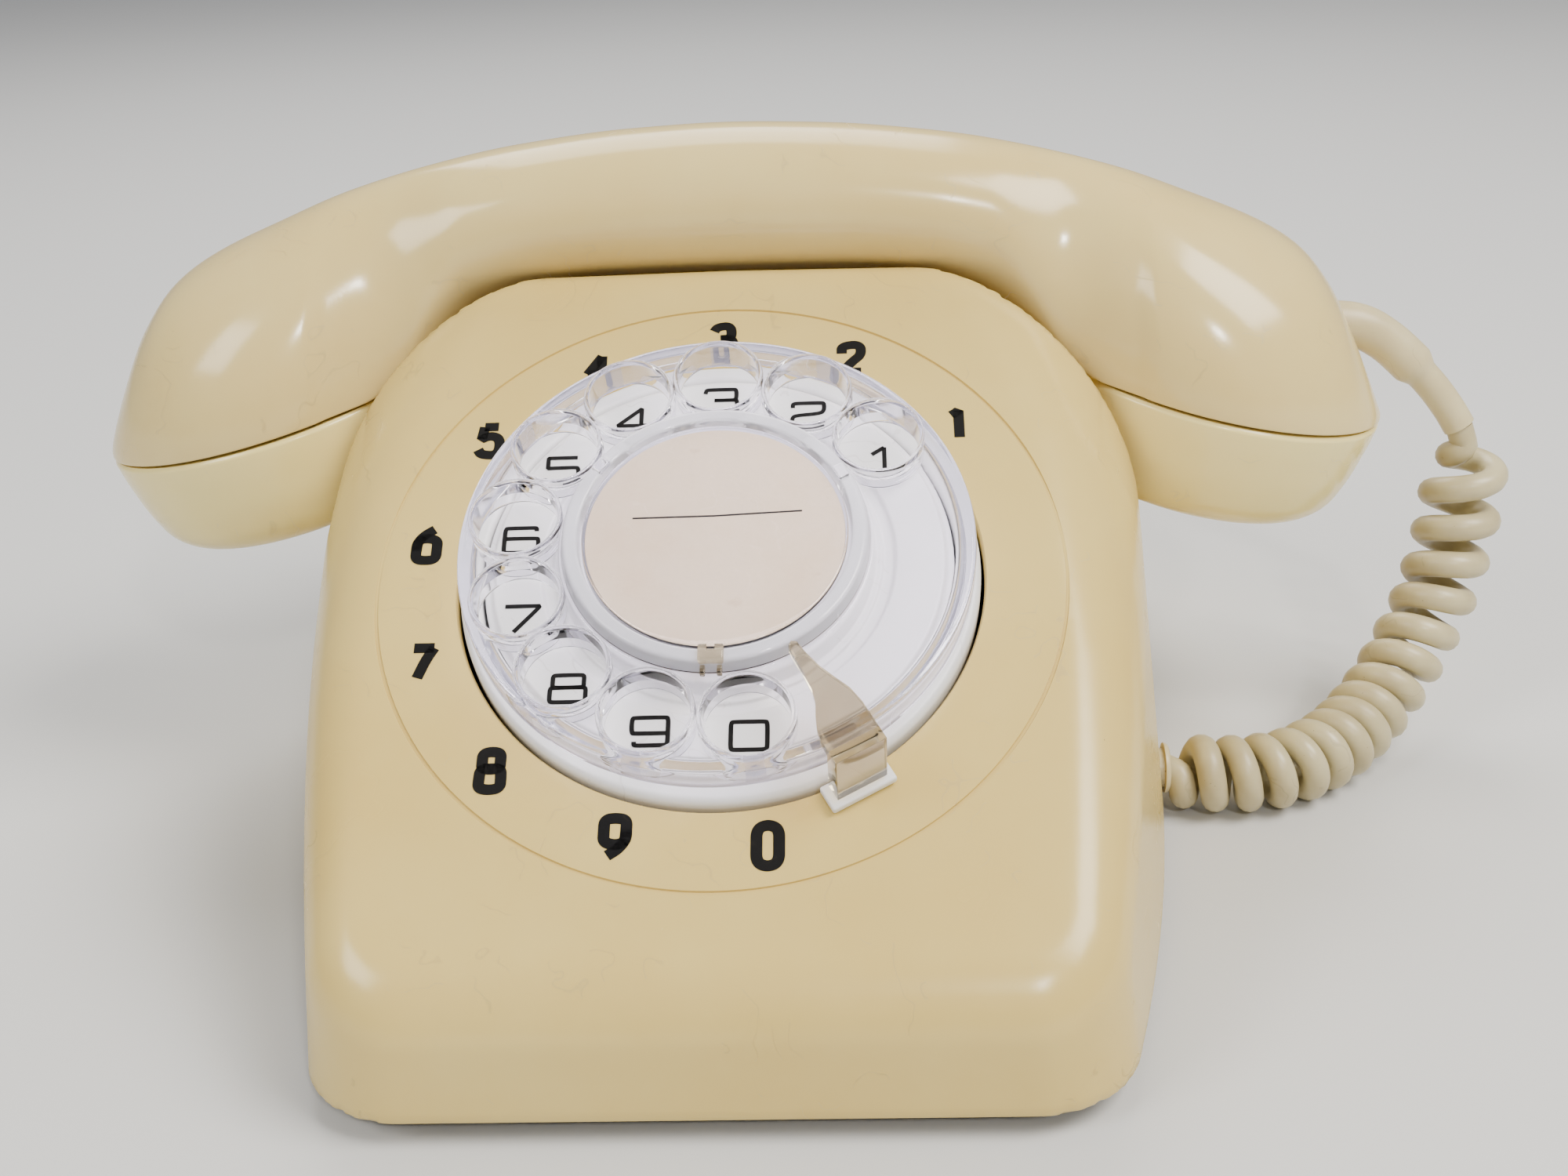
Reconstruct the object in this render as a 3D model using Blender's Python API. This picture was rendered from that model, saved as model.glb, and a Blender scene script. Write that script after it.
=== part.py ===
# Rotary desk telephone: moulded case, clear finger wheel dial, handset on a cradle, curly cord.
# Metres, +Z up, front towards -Y. Origin: centre of the footprint, on the surface it stands on.
import math

import bmesh
import bpy
from mathutils import Matrix, Vector

GAP = 0.0003            # clearance between pieces that touch
WALL = 0.0026           # moulded wall thickness

# case
CASE_HALF_DEPTH = 0.1025
CASE_FRONT_HALF = 0.0570     # half width near the front corners
CASE_REAR_HALF = 0.0780      # half width at the rear
CASE_BOTTOM = 0.0040         # lower edge of the case above the surface
CASE_DRAFT = 0.108           # side wall lean, metres per metre of height
FRONT_CORNER = 0.0120
REAR_CORNER = 0.0220
LIP_DROP = 0.0080            # height of the rolled edge between face and apron
LIP_DEPTH = 0.0045
CREST_START = 0.0050         # where the face starts to roll over into the crest
CREST_END = 0.0145
HUMP_START = 0.0500          # where the rear of the case starts to fall
REAR_EDGE = 0.0120           # height of the case's rear edge

# dial
FACE_SLOPE = math.radians(33.6)
DIAL_Y = -0.0430
DIAL_Z = 0.0618
PLATE_TOP = 0.0015
WHEEL_R = 0.0395
RIM_R = WHEEL_R + 0.0010         # the fixed rim shows just outside the wheel
RIM_INNER_R = WHEEL_R - 0.0027
RIM_TOP = 0.0018
WHEEL_TOP = 0.0100
WHEEL_THICK = 0.0026
WHEEL_SKIRT = 0.0042         # height of the skirt's lower edge above the face
HOLE_COUNT = 10
HOLE_RING_R = WHEEL_R - 0.0083   # the holes keep their distance from the wheel's edge
HOLE_R = 0.0064
HOLE_TUBE_WALL = 0.0008
HOLE_FIRST = math.radians(36.5)
HOLE_STEP = math.radians(27.0)
HUB_R = 0.0231
HUB_INNER_R = 0.0206
HUB_TOP = 0.0121
STOP_THICK = 0.0017
STOP_SIDE = math.radians(-61.0)   # direction of the finger stop from the dial's centre
FRAME_TOP = -0.0075
FRAME_THICK = 0.0016
REAR_PLATE_TOP = -0.0190
SPINDLE_R = 0.0022
MAIN_TEETH = 60
PINION_TEETH = 12
GEAR_MODULE = 0.0005
GEAR_THICK = 0.0018
GEAR_TOP = -0.0102

# handset
HANDSET_Y = 0.0230
HANDSET_TOP = 0.1194
CUP_X = 0.0872
CUP_R = 0.0303
CUP_Z = 0.0710
CUP_TILT = math.radians(13.0)
CAP_DEPTH = 0.0207
CAP_BORE_R = 0.0240
CUP_BORE_R = 0.0195          # narrower bore above the cap's neck
HANDSET_LIFT_GAP = 0.0015    # room around the resting handset

# cradle switch
PLUNGER_X = 0.0300
PLUNGER_R = 0.0030
CHANNEL_FLOOR = 0.0840
CHANNEL_HALF = 0.0116
BRIDGE_TOP = 0.0480

# base
PLATE_THICK = 0.0020
FOOT_R = 0.0080
FOOT_X_FRONT = 0.0440
FOOT_X_REAR = 0.0600
FOOT_Y = 0.0860
PILLAR_X = 0.0500
PILLAR_Y = -0.0700
PILLAR_R = 0.0040

# ringer
GONG_X = 0.0290
GONG_Y = 0.0640
GONG_R = 0.0250
GONG_LOW = 0.0140
GONG_HIGH = 0.0330
GONG_WALL = 0.0013

# circuit board
BOARD_X = -0.0050
BOARD_FRONT = -0.0820
BOARD_REAR = -0.0440
BOARD_Z = 0.0100

# cords
CORD_COIL_R = 0.0070
CORD_R = 0.0029
BOOT_R = 0.0040
GLAND_Y = -0.0115
GLAND_Z = 0.0086
INLET_X = -0.0250
INLET_Z = 0.0120


def clear_scene():
    for item in list(bpy.data.objects):
        bpy.data.objects.remove(item, do_unlink=True)


def make_material(name, colour, roughness, metallic=0.0):
    mat = bpy.data.materials.new(name)
    mat.use_nodes = True
    shader = mat.node_tree.nodes["Principled BSDF"]
    shader.inputs["Base Color"].default_value = (*colour, 1.0)
    shader.inputs["Roughness"].default_value = roughness
    shader.inputs["Metallic"].default_value = metallic
    mat.diffuse_color = (*colour, 1.0)
    return mat


def make_object(name, bm, mat, parent=None, place=None, sharp=math.radians(35)):
    bmesh.ops.recalc_face_normals(bm, faces=bm.faces)
    mesh = bpy.data.meshes.new(name)
    bm.to_mesh(mesh)
    bm.free()
    mesh.shade_smooth()
    mesh.set_sharp_from_angle(angle=sharp)
    if mat:
        mesh.materials.append(mat)
    obj = bpy.data.objects.new(name, mesh)
    bpy.context.collection.objects.link(obj)
    obj.parent = parent
    if place is not None:
        obj.matrix_basis = place
    return obj


def make_cutter(obj):
    obj.hide_render = True
    obj.display_type = "WIRE"
    return obj


def boolean(obj, cutter, operation="DIFFERENCE"):
    mod = obj.modifiers.new(cutter.name, "BOOLEAN")
    mod.operation = operation
    mod.solver = "EXACT"
    mod.object = cutter
    return mod


def lathe(profile, segments):
    """Closed solid turned about Z from a closed (radius, height) outline; radius 0 makes a pole."""
    bm = bmesh.new()
    rings = []
    for radius, height in profile:
        if radius == 0:
            rings.append([bm.verts.new((0, 0, height))])
            continue
        ring = []
        for k in range(segments):
            turn = 2 * math.pi * k / segments
            ring.append(bm.verts.new((radius * math.cos(turn), radius * math.sin(turn), height)))
        rings.append(ring)
    count = len(rings)
    for i in range(count):
        low, high = rings[i], rings[(i + 1) % count]
        if len(low) == 1 and len(high) == 1:
            continue
        for k in range(segments):
            nxt = (k + 1) % segments
            if len(low) == 1:
                bm.faces.new((low[0], high[k], high[nxt]))
            elif len(high) == 1:
                bm.faces.new((low[k], high[0], low[nxt]))
            else:
                bm.faces.new((low[k], high[k], high[nxt], low[nxt]))
    return bm


def prism(outline, low, high, bm=None):
    """Solid with the (x, y) outline between two heights."""
    bm = bm or bmesh.new()
    bottom = [bm.verts.new((x, y, low)) for x, y in outline]
    top = [bm.verts.new((x, y, high)) for x, y in outline]
    bm.faces.new(bottom)
    bm.faces.new(top)
    count = len(outline)
    for k in range(count):
        nxt = (k + 1) % count
        bm.faces.new((bottom[k], bottom[nxt], top[nxt], top[k]))
    return bm


def loft(sections):
    """Closed solid through equal-length loops of 3-D points, capped at both ends."""
    bm = bmesh.new()
    loops = [[bm.verts.new(p) for p in loop] for loop in sections]
    count = len(loops[0])
    for a, b in zip(loops, loops[1:]):
        for k in range(count):
            nxt = (k + 1) % count
            bm.faces.new((a[k], b[k], b[nxt], a[nxt]))
    bm.faces.new(loops[0])
    bm.faces.new(loops[-1])
    return bm


def circle(radius, count, x=0.0, y=0.0, phase=0.0):
    turns = [phase + 2 * math.pi * k / count for k in range(count)]
    return [(x + radius * math.cos(t), y + radius * math.sin(t)) for t in turns]


def block(low, high, bevel=0.0):
    bm = bmesh.new()
    size = [h - l for l, h in zip(low, high)]
    centre = [(l + h) / 2 for l, h in zip(low, high)]
    bmesh.ops.create_cube(bm, size=1.0, matrix=Matrix.Translation(centre) @ Matrix.Diagonal((*size, 1)))
    if bevel:
        bmesh.ops.bevel(bm, geom=bm.edges, offset=bevel, segments=1, affect="EDGES")
    return bm


def table(points, value):
    """Linear reading of a short list of (position, result) points."""
    if value <= points[0][0]:
        return points[0][1]
    for (a, ra), (b, rb) in zip(points, points[1:]):
        if value <= b:
            return ra + (rb - ra) * (value - a) / (b - a)
    return points[-1][1]


def smooth_path(points, step):
    """Points a given step apart on a Catmull-Rom curve through the route's own points."""
    pts = [Vector(p) for p in points]
    pts = [pts[0] * 2 - pts[1]] + pts + [pts[-1] * 2 - pts[-2]]
    dense = []
    for p0, p1, p2, p3 in zip(pts, pts[1:], pts[2:], pts[3:]):
        for k in range(24):
            t = k / 24
            dense.append(0.5 * ((2 * p1) + (p2 - p0) * t + (2 * p0 - 5 * p1 + 4 * p2 - p3) * t * t
                                + (3 * p1 - p0 - 3 * p2 + p3) * t ** 3))
    dense.append(pts[-2])
    length = sum((b - a).length for a, b in zip(dense, dense[1:]))
    count = max(2, round(length / step))
    result = [dense[0]]
    run = 0.0
    for a, b in zip(dense, dense[1:]):
        run += (b - a).length
        if run >= length * len(result) / count and len(result) < count:
            result.append(b)
    result.append(dense[-1])
    return result


def bar(points, radii, segments):
    """Closed round solid along a path, for shapes that a Boolean uses."""
    points = [Vector(p) for p in points]
    side = Vector((0.0, 0.0, 1.0))
    sections = []
    for k, (place, radius) in enumerate(zip(points, radii)):
        ahead = (points[min(k + 1, len(points) - 1)] - points[max(k - 1, 0)]).normalized()
        side = (side - ahead * side.dot(ahead)).normalized()
        across = ahead.cross(side)
        turns = [2 * math.pi * i / segments for i in range(segments)]
        sections.append([place + (side * math.cos(t) + across * math.sin(t)) * radius for t in turns])
    return loft(sections)


def tube(name, points, radii, mat, resolution=2):
    """Round bar along a poly line, with a radius at each point and filled ends."""
    curve = bpy.data.curves.new(name, "CURVE")
    curve.dimensions = "3D"
    curve.bevel_depth = 1.0
    curve.bevel_resolution = resolution
    curve.use_fill_caps = True
    spline = curve.splines.new("POLY")
    spline.points.add(len(points) - 1)
    for point, place, radius in zip(spline.points, points, radii):
        point.co = (*place, 1.0)
        point.radius = radius
    if mat:
        curve.materials.append(mat)
    obj = bpy.data.objects.new(name, curve)
    bpy.context.collection.objects.link(obj)
    return obj


# ---- case -------------------------------------------------------------------------------------

def face_height(y):
    return DIAL_Z + (y - DIAL_Y) * math.tan(FACE_SLOPE)


def case_top(y):
    """Height of the case's middle line at a place from front to rear."""
    lip_y = -CASE_HALF_DEPTH + LIP_DEPTH
    slope = math.tan(FACE_SLOPE)
    if y < lip_y:
        part = min(1.0, (lip_y - y) / LIP_DEPTH)
        return face_height(lip_y) - LIP_DROP * (1 - math.sqrt(1 - part * part))
    if y < CREST_START:
        return face_height(y)
    run = min(y, CREST_END) - CREST_START
    crest = face_height(CREST_START) + slope * (run - run * run / (2 * (CREST_END - CREST_START)))
    if y < HUMP_START:
        return crest
    part = min(1.0, (y - HUMP_START) / (CASE_HALF_DEPTH - HUMP_START))
    return REAR_EDGE + (crest - REAR_EDGE) * math.sqrt(1 - part * part)


def case_side(y):
    """Half width of the case at its lower edge."""
    part = max(0.0, (HUMP_START - y) / (HUMP_START + CASE_HALF_DEPTH))
    half = CASE_REAR_HALF - (CASE_REAR_HALF - CASE_FRONT_HALF) * part ** 2.2
    front = -CASE_HALF_DEPTH + FRONT_CORNER - y
    if front > 0:
        half -= FRONT_CORNER - math.sqrt(max(0.0, FRONT_CORNER ** 2 - front ** 2))
    rear = y - CASE_HALF_DEPTH + REAR_CORNER
    if rear > 0:
        half -= REAR_CORNER - math.sqrt(max(0.0, REAR_CORNER ** 2 - rear ** 2))
    return half


# (place from front to rear as a share of the half depth, width and height of the top corner's round)
CORNER_ROUND = ((-1.00, 0.003, 0.004), (-0.88, 0.007, 0.007), (-0.54, 0.011, 0.011), (-0.20, 0.020, 0.017),
                (0.00, 0.028, 0.026), (0.10, 0.036, 0.032), (0.49, 0.030, 0.030), (0.80, 0.022, 0.022),
                (1.00, 0.010, 0.006))


def case_section(y, inset):
    """Cross-section of the case at one place, as a loop of points; an inset gives its inner side."""
    bottom = CASE_BOTTOM if inset == 0 else CASE_BOTTOM - 0.002
    top = case_top(y) - inset * 1.15
    share = y / CASE_HALF_DEPTH
    wide = table([(s, w) for s, w, h in CORNER_ROUND], share)
    tall = min(table([(s, h) for s, w, h in CORNER_ROUND], share), top - bottom - 0.002)
    side = case_side(y) - inset
    spring_z = top - tall
    spring_x = side - CASE_DRAFT * (spring_z - bottom)
    flat_x = max(0.010, spring_x - wide)
    half = [(side, bottom)]
    steps = 6
    for k in range(steps + 1):
        turn = math.pi / 2 * k / steps
        half.append((flat_x + (spring_x - flat_x) * math.cos(turn), spring_z + tall * math.sin(turn)))
    return [(x, y, z) for x, z in half] + [(-x, y, z) for x, z in reversed(half)]


def case_stations():
    """Places from front to rear, closer together where the outline turns."""
    lip = [-CASE_HALF_DEPTH + LIP_DEPTH * (1 - math.cos(math.pi / 2 * k / 4)) for k in range(5)]
    corner_end = -CASE_HALF_DEPTH + FRONT_CORNER
    face = [lip[-1] + (corner_end - lip[-1]) * k / 2 for k in (1, 2)]
    face += [corner_end + (CREST_START - corner_end) * k / 7 for k in range(1, 8)]
    crest = [CREST_START + (CREST_END - CREST_START) * k / 3 for k in (1, 2, 3)]
    hump = [CREST_END + (HUMP_START - CREST_END) * k / 2 for k in (1, 2)]
    rear = [HUMP_START + (CASE_HALF_DEPTH - HUMP_START) * math.sin(math.pi / 2 * k / 8) for k in range(1, 9)]
    return lip + face + crest + hump + rear


def case_loft(inset):
    scale = (CASE_HALF_DEPTH - inset) / CASE_HALF_DEPTH
    return loft([case_section(y * scale, inset) for y in case_stations()])


def well_cutter(name, side, grow):
    """Upright hole for one end of the handset, with a floor that follows the cap's slope."""
    radius = CUP_R + HANDSET_LIFT_GAP + grow
    bm = bmesh.new()
    floor_mid = CUP_Z - (CAP_DEPTH + 0.0025 + grow) / math.cos(CUP_TILT)
    ring = circle(radius, 32, side * (CUP_X - 0.0005), HANDSET_Y)
    low = [bm.verts.new((x, y, floor_mid - math.tan(CUP_TILT) * (abs(x) - CUP_X))) for x, y in ring]
    high = [bm.verts.new((x, y, HANDSET_TOP + 0.010)) for x, y in ring]
    bm.faces.new(low)
    bm.faces.new(high)
    for k in range(len(ring)):
        nxt = (k + 1) % len(ring)
        bm.faces.new((low[k], low[nxt], high[nxt], high[k]))
    return make_cutter(make_object(name, bm, None))


# (distance from the middle, half width, floor height) of the channel under the handle
CHANNEL = ((0.030, 0.0004, 0.0), (0.036, 0.0014, -0.0003), (0.042, 0.0034, -0.0010),
           (0.052, 0.0070, -0.0064), (0.060, 0.0105, -0.0130), (0.068, 0.0140, -0.0170))


def channel_cutter(name, grow):
    def section(x, extra, drop):
        half = CHANNEL_HALF + extra + grow
        floor = CHANNEL_FLOOR + drop - grow
        top = HANDSET_TOP + 0.010
        r = 0.004
        right = [(half, top), (half, floor + r), (half - r * 0.3, floor + r * 0.3), (half - r, floor)]
        loop = right + [(-y, z) for y, z in reversed(right)]
        return [(x, HANDSET_Y + y, z) for y, z in loop]
    rows = [section(x, w, d) for x, w, d in CHANNEL]
    left = [section(-x, w, d) for x, w, d in reversed(CHANNEL)]
    return make_cutter(make_object(name, loft(left + rows), None))


def cylinder_cutter(name, radius, low, high, place, segments=20, parent=None):
    return make_cutter(make_object(name, prism(circle(radius, segments), low, high), None, parent, place))


def place_at(x, y, z=0.0):
    return Matrix.Translation((x, y, z))


def along_x(x, y, z):
    return Matrix.Translation((x, y, z)) @ Matrix.Rotation(math.pi / 2, 4, "Y")


def along_y(x, y, z):
    return Matrix.Translation((x, y, z)) @ Matrix.Rotation(-math.pi / 2, 4, "X")


def build_case(mats, dial):
    case = make_object("case_shell", case_loft(0.0), mats["ivory"])
    cavity = make_cutter(make_object("cut_cavity", case_loft(WALL), None))
    for side, tag in ((-1, "left"), (1, "right")):
        boolean(case, well_cutter("cut_well_" + tag, side, 0.0))
        boolean(cavity, well_cutter("cut_well_inner_" + tag, side, WALL))
        pillar = cylinder_cutter("cut_pillar_" + tag, PILLAR_R, CASE_BOTTOM + 0.005, HANDSET_TOP,
                                 place_at(side * PILLAR_X, PILLAR_Y), 16)
        boolean(cavity, pillar)
    boolean(case, channel_cutter("cut_channel", 0.0))
    boolean(cavity, channel_cutter("cut_channel_inner", WALL))
    boolean(case, cavity)
    boolean(case, cylinder_cutter("cut_dial", RIM_R + GAP, -0.012, 0.012, Matrix(), 64, dial))
    for side, tag in ((-1, "left"), (1, "right")):
        boolean(case, cylinder_cutter("cut_plunger_" + tag, PLUNGER_R + GAP, CHANNEL_FLOOR - 0.006,
                                      CHANNEL_FLOOR + 0.006, place_at(side * PLUNGER_X, HANDSET_Y), 16))
        boolean(case, cylinder_cutter("cut_screw_" + tag, 0.0016, 0.0, 0.022,
                                      place_at(side * PILLAR_X, PILLAR_Y), 12))
    boolean(case, cylinder_cutter("cut_gland", 0.0036 + GAP, -0.010, 0.010,
                                  along_x(case_side(GLAND_Y), GLAND_Y, GLAND_Z), 16))
    boolean(case, cylinder_cutter("cut_inlet", 0.0036 + GAP, -0.010, 0.010,
                                  along_y(INLET_X, CASE_HALF_DEPTH, INLET_Z), 16))
    return case


def build_base(mats):
    play = 0.0006
    rows = [y * (CASE_HALF_DEPTH - WALL) / CASE_HALF_DEPTH for y in case_stations()]
    right = [(case_side(y) - WALL - play, y * (1 - play / CASE_HALF_DEPTH)) for y in rows]
    outline = right + [(-x, y) for x, y in reversed(right)]
    low = CASE_BOTTOM + GAP
    plate = make_object("base_plate", prism(outline, low, low + PLATE_THICK), mats["black"])
    for side, tag in ((-1, "left"), (1, "right")):
        place = place_at(side * PILLAR_X, PILLAR_Y)
        boolean(plate, cylinder_cutter("cut_plate_screw_" + tag, 0.0019, 0.0, 0.012, place, 12))
        post_top = GONG_HIGH - GONG_WALL - GAP
        boolean(plate, cylinder_cutter("join_gong_post_" + tag, 0.0040, low + 0.001, post_top,
                                       place_at(side * GONG_X, GONG_Y), 14), "UNION")
        for end, y in (("front", BOARD_FRONT), ("rear", BOARD_REAR)):
            spot = place_at(BOARD_X + side * 0.0345, y)
            boolean(plate, cylinder_cutter("join_standoff_%s_%s" % (end, tag), 0.0025, low + 0.001,
                                           BOARD_Z - GAP, spot, 10), "UNION")
        screw = [(0, 0.0021), (0.0034, 0.0021), (0.0034, 0.0034), (0.0020, low - GAP), (0.0013, low - GAP),
                 (0.0013, 0.0200), (0, 0.0212)]
        make_object("case_screw_" + tag, lathe(screw, 12), mats["steel"], None, place)
        for end, x in (("front", FOOT_X_FRONT), ("rear", FOOT_X_REAR)):
            y = -FOOT_Y if end == "front" else FOOT_Y
            foot = [(0, 0), (FOOT_R - 0.001, 0), (FOOT_R, 0.001), (FOOT_R, low - GAP), (0, low - GAP)]
            make_object("foot_" + end + "_" + tag, lathe(foot, 20), mats["rubber"], None,
                        place_at(side * x, y))


# ---- dial -------------------------------------------------------------------------------------

def polar(radius, turn):
    return radius * math.cos(turn), radius * math.sin(turn)


def gear_outline(teeth, phase):
    """Thin trapezoid teeth that run in mesh with clearance."""
    pitch_r = teeth * GEAR_MODULE / 2
    root, tip = pitch_r - 0.0007, pitch_r + 0.0003
    step = 2 * math.pi / teeth
    points = []
    for k in range(teeth):
        mid = phase + k * step
        for radius, offset in ((root, -0.26), (tip, -0.10), (tip, 0.10), (root, 0.26)):
            points.append(polar(radius, mid + offset * step))
    return points


def build_dial_fixed(mats, dial):
    low = -0.0070
    rim = [(RIM_INNER_R, low), (RIM_R, low), (RIM_R, RIM_TOP - 0.0008), (RIM_R - 0.0008, RIM_TOP),
           (RIM_INNER_R + 0.0006, RIM_TOP), (RIM_INNER_R, RIM_TOP - 0.0006)]
    make_object("dial_rim", lathe(rim, 48), mats["white"], dial)
    plate_r = RIM_INNER_R - GAP
    plate = [(0.0050, 0.0003), (plate_r, 0.0003), (plate_r, PLATE_TOP), (0.0050, PLATE_TOP)]
    make_object("number_plate", lathe(plate, 48), mats["white"], dial)
    bore = SPINDLE_R + GAP
    disc = [(bore, FRAME_TOP - FRAME_THICK), (RIM_R - 0.0015, FRAME_TOP - FRAME_THICK),
            (RIM_R - 0.0015, FRAME_TOP), (bore, FRAME_TOP)]
    frame = make_object("dial_frame", lathe(disc, 40), mats["steel"], dial)
    for k in range(3):
        x, y = polar(0.0270, math.radians(70 + 120 * k))
        post = prism(circle(0.0018, 10), REAR_PLATE_TOP - 0.0006, FRAME_TOP - FRAME_THICK / 2)
        boolean(frame, make_cutter(make_object("join_post_%d" % (k + 1), post, None, dial, place_at(x, y))), "UNION")
    rear = [(bore, REAR_PLATE_TOP - 0.0012), (0.0300, REAR_PLATE_TOP - 0.0012), (0.0300, REAR_PLATE_TOP),
            (bore, REAR_PLATE_TOP)]
    boolean(frame, make_cutter(make_object("join_rear_plate", lathe(rear, 32), None, dial)), "UNION")
    turns = 4
    wire = [(*polar(0.0048, 2 * math.pi * k / 10), REAR_PLATE_TOP + 0.0010 + 0.0011 * k / 10)
            for k in range(turns * 10 + 1)]
    tube("mainspring", wire, [0.00035] * len(wire), mats["steel"], 0).parent = dial
    build_finger_stop(mats, dial)
    build_contacts(mats, dial)


def build_finger_stop(mats, dial):
    """Clear stop: a foot outside the wheel, and a horn that reaches in over it."""
    turned = Matrix.Rotation(STOP_SIDE + math.pi / 2, 4, "Z")
    under = WHEEL_TOP + 0.0016
    out_r = WHEEL_R + 0.0012
    foot_r = RIM_R + 0.0040
    half = 0.0042
    tip = HUB_R + 0.0005
    horn = [(-half, -foot_r), (half, -foot_r), (half, -out_r + 0.0030), (0.0036, -out_r + 0.0062),
            (0.0022, -out_r + 0.0102), (0.0010, -tip), (-0.0005, -tip), (-0.0009, -out_r + 0.0089),
            (-0.0022, -out_r + 0.0057), (-half, -out_r + 0.0018)]
    stop = make_object("finger_stop", prism(horn, under, under + STOP_THICK), mats["smoke"], dial, turned)
    leg = block((-half, -foot_r, RIM_TOP + GAP), (half, -out_r, under + STOP_THICK / 2))
    leg_obj = make_cutter(make_object("join_stop_leg", leg, None, dial, turned))
    boolean(stop, leg_obj, "UNION")
    socket = block((-half - 0.0013, -foot_r - 0.0009, 0.0003), (half + 0.0013, -RIM_R - GAP, RIM_TOP))
    make_object("finger_stop_socket", socket, mats["white"], dial, turned)


def build_contacts(mats, dial):
    """Impulse springs that the cam opens and closes."""
    low = REAR_PLATE_TOP + GAP
    make_object("impulse_contact_block", block((0.0060, -0.0090, low), (0.0100, -0.0048, low + 0.0056), 0.0004),
                mats["phenolic"], dial)
    for k in range(2):
        y = -0.0056 - 0.0016 * k
        make_object("impulse_contact_leaf_%d" % (k + 1), block((0.0103, y, -0.0154), (0.0225, y + 0.0004, -0.0138)),
                    mats["brass"], dial)


def finger_holes(name, radius, low, high, dial):
    bm = bmesh.new()
    for k in range(HOLE_COUNT):
        x, y = polar(HOLE_RING_R, HOLE_FIRST + k * HOLE_STEP)
        prism(circle(radius, 20, x, y), low, high, bm)
    return make_cutter(make_object(name, bm, None, dial))


def build_dial_turning(mats, dial):
    under = WHEEL_TOP - WHEEL_THICK
    bore = SPINDLE_R + 0.0006
    profile = [(bore, under), (WHEEL_R - 0.0022, under), (WHEEL_R - 0.0018, WHEEL_SKIRT), (WHEEL_R, WHEEL_SKIRT),
               (WHEEL_R, WHEEL_TOP - 0.0014), (WHEEL_R - 0.0014, WHEEL_TOP), (HUB_R, WHEEL_TOP),
               (HUB_R - 0.0004, HUB_TOP), (HUB_INNER_R, HUB_TOP), (HUB_INNER_R, WHEEL_TOP),
               (0.0090, WHEEL_TOP), (0.0090, WHEEL_TOP - 0.0014), (bore, WHEEL_TOP - 0.0014)]
    wheel = make_object("finger_wheel", lathe(profile, 60), mats["clear"], dial)
    for k in range(HOLE_COUNT):
        x, y = polar(HOLE_RING_R, HOLE_FIRST + k * HOLE_STEP)
        name = "join_hole_tube_%d" % (k + 1)
        ring = prism(circle(HOLE_R + HOLE_TUBE_WALL, 20, x, y), WHEEL_SKIRT + 0.0006, WHEEL_TOP - 0.0010)
        boolean(wheel, make_cutter(make_object(name, ring, None, dial)), "UNION")
    boolean(wheel, finger_holes("cut_finger_holes", HOLE_R, 0.0, WHEEL_TOP + 0.002, dial))

    card = [(0, WHEEL_TOP + GAP), (HUB_INNER_R - 0.0010, WHEEL_TOP + GAP),
            (HUB_INNER_R - 0.0010, WHEEL_TOP + GAP + 0.0004), (0, WHEEL_TOP + GAP + 0.0004)]
    make_object("label_card", lathe(card, 40), mats["card"], dial)
    low = WHEEL_TOP + 2 * GAP + 0.0004
    cover = [(0, low), (HUB_INNER_R - GAP, low), (HUB_INNER_R - GAP, low + 0.0007), (0.012, low + 0.0011),
             (0, low + 0.0012)]
    make_object("label_cover", lathe(cover, 40), mats["clear"], dial)
    clip_r = (HUB_INNER_R + HUB_R) / 2
    make_object("label_clip", block((-0.0016, -clip_r - 0.0010, HUB_TOP + GAP), (0.0016, -clip_r + 0.0022,
                HUB_TOP + GAP + 0.0008), 0.0002), mats["smoke"], dial)
    gear_low = GEAR_TOP - GEAR_THICK
    spindle = [(0, REAR_PLATE_TOP - 0.0020), (SPINDLE_R, REAR_PLATE_TOP - 0.0020), (SPINDLE_R, under - 0.0020),
               (0.0045, under - 0.0020), (0.0045, under - GAP), (SPINDLE_R, under - GAP),
               (SPINDLE_R, WHEEL_TOP - 0.0012), (0, WHEEL_TOP - 0.0012)]
    make_object("dial_spindle", lathe(spindle, 20), mats["brass"], dial)
    nut = prism(circle(0.0055, 6), WHEEL_TOP - 0.0014 + GAP, WHEEL_TOP - GAP / 2)
    nut_obj = make_object("spindle_nut", nut, mats["brass"], dial)
    boolean(nut_obj, cylinder_cutter("cut_nut", SPINDLE_R + GAP, 0.0, 0.02, Matrix(), 16, dial))
    gear = make_object("main_gear", prism(gear_outline(MAIN_TEETH, 0.0), gear_low, GEAR_TOP), mats["brass"], dial)
    boolean(gear, cylinder_cutter("cut_gear", SPINDLE_R + GAP, -0.03, 0.0, Matrix(), 16, dial))


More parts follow.
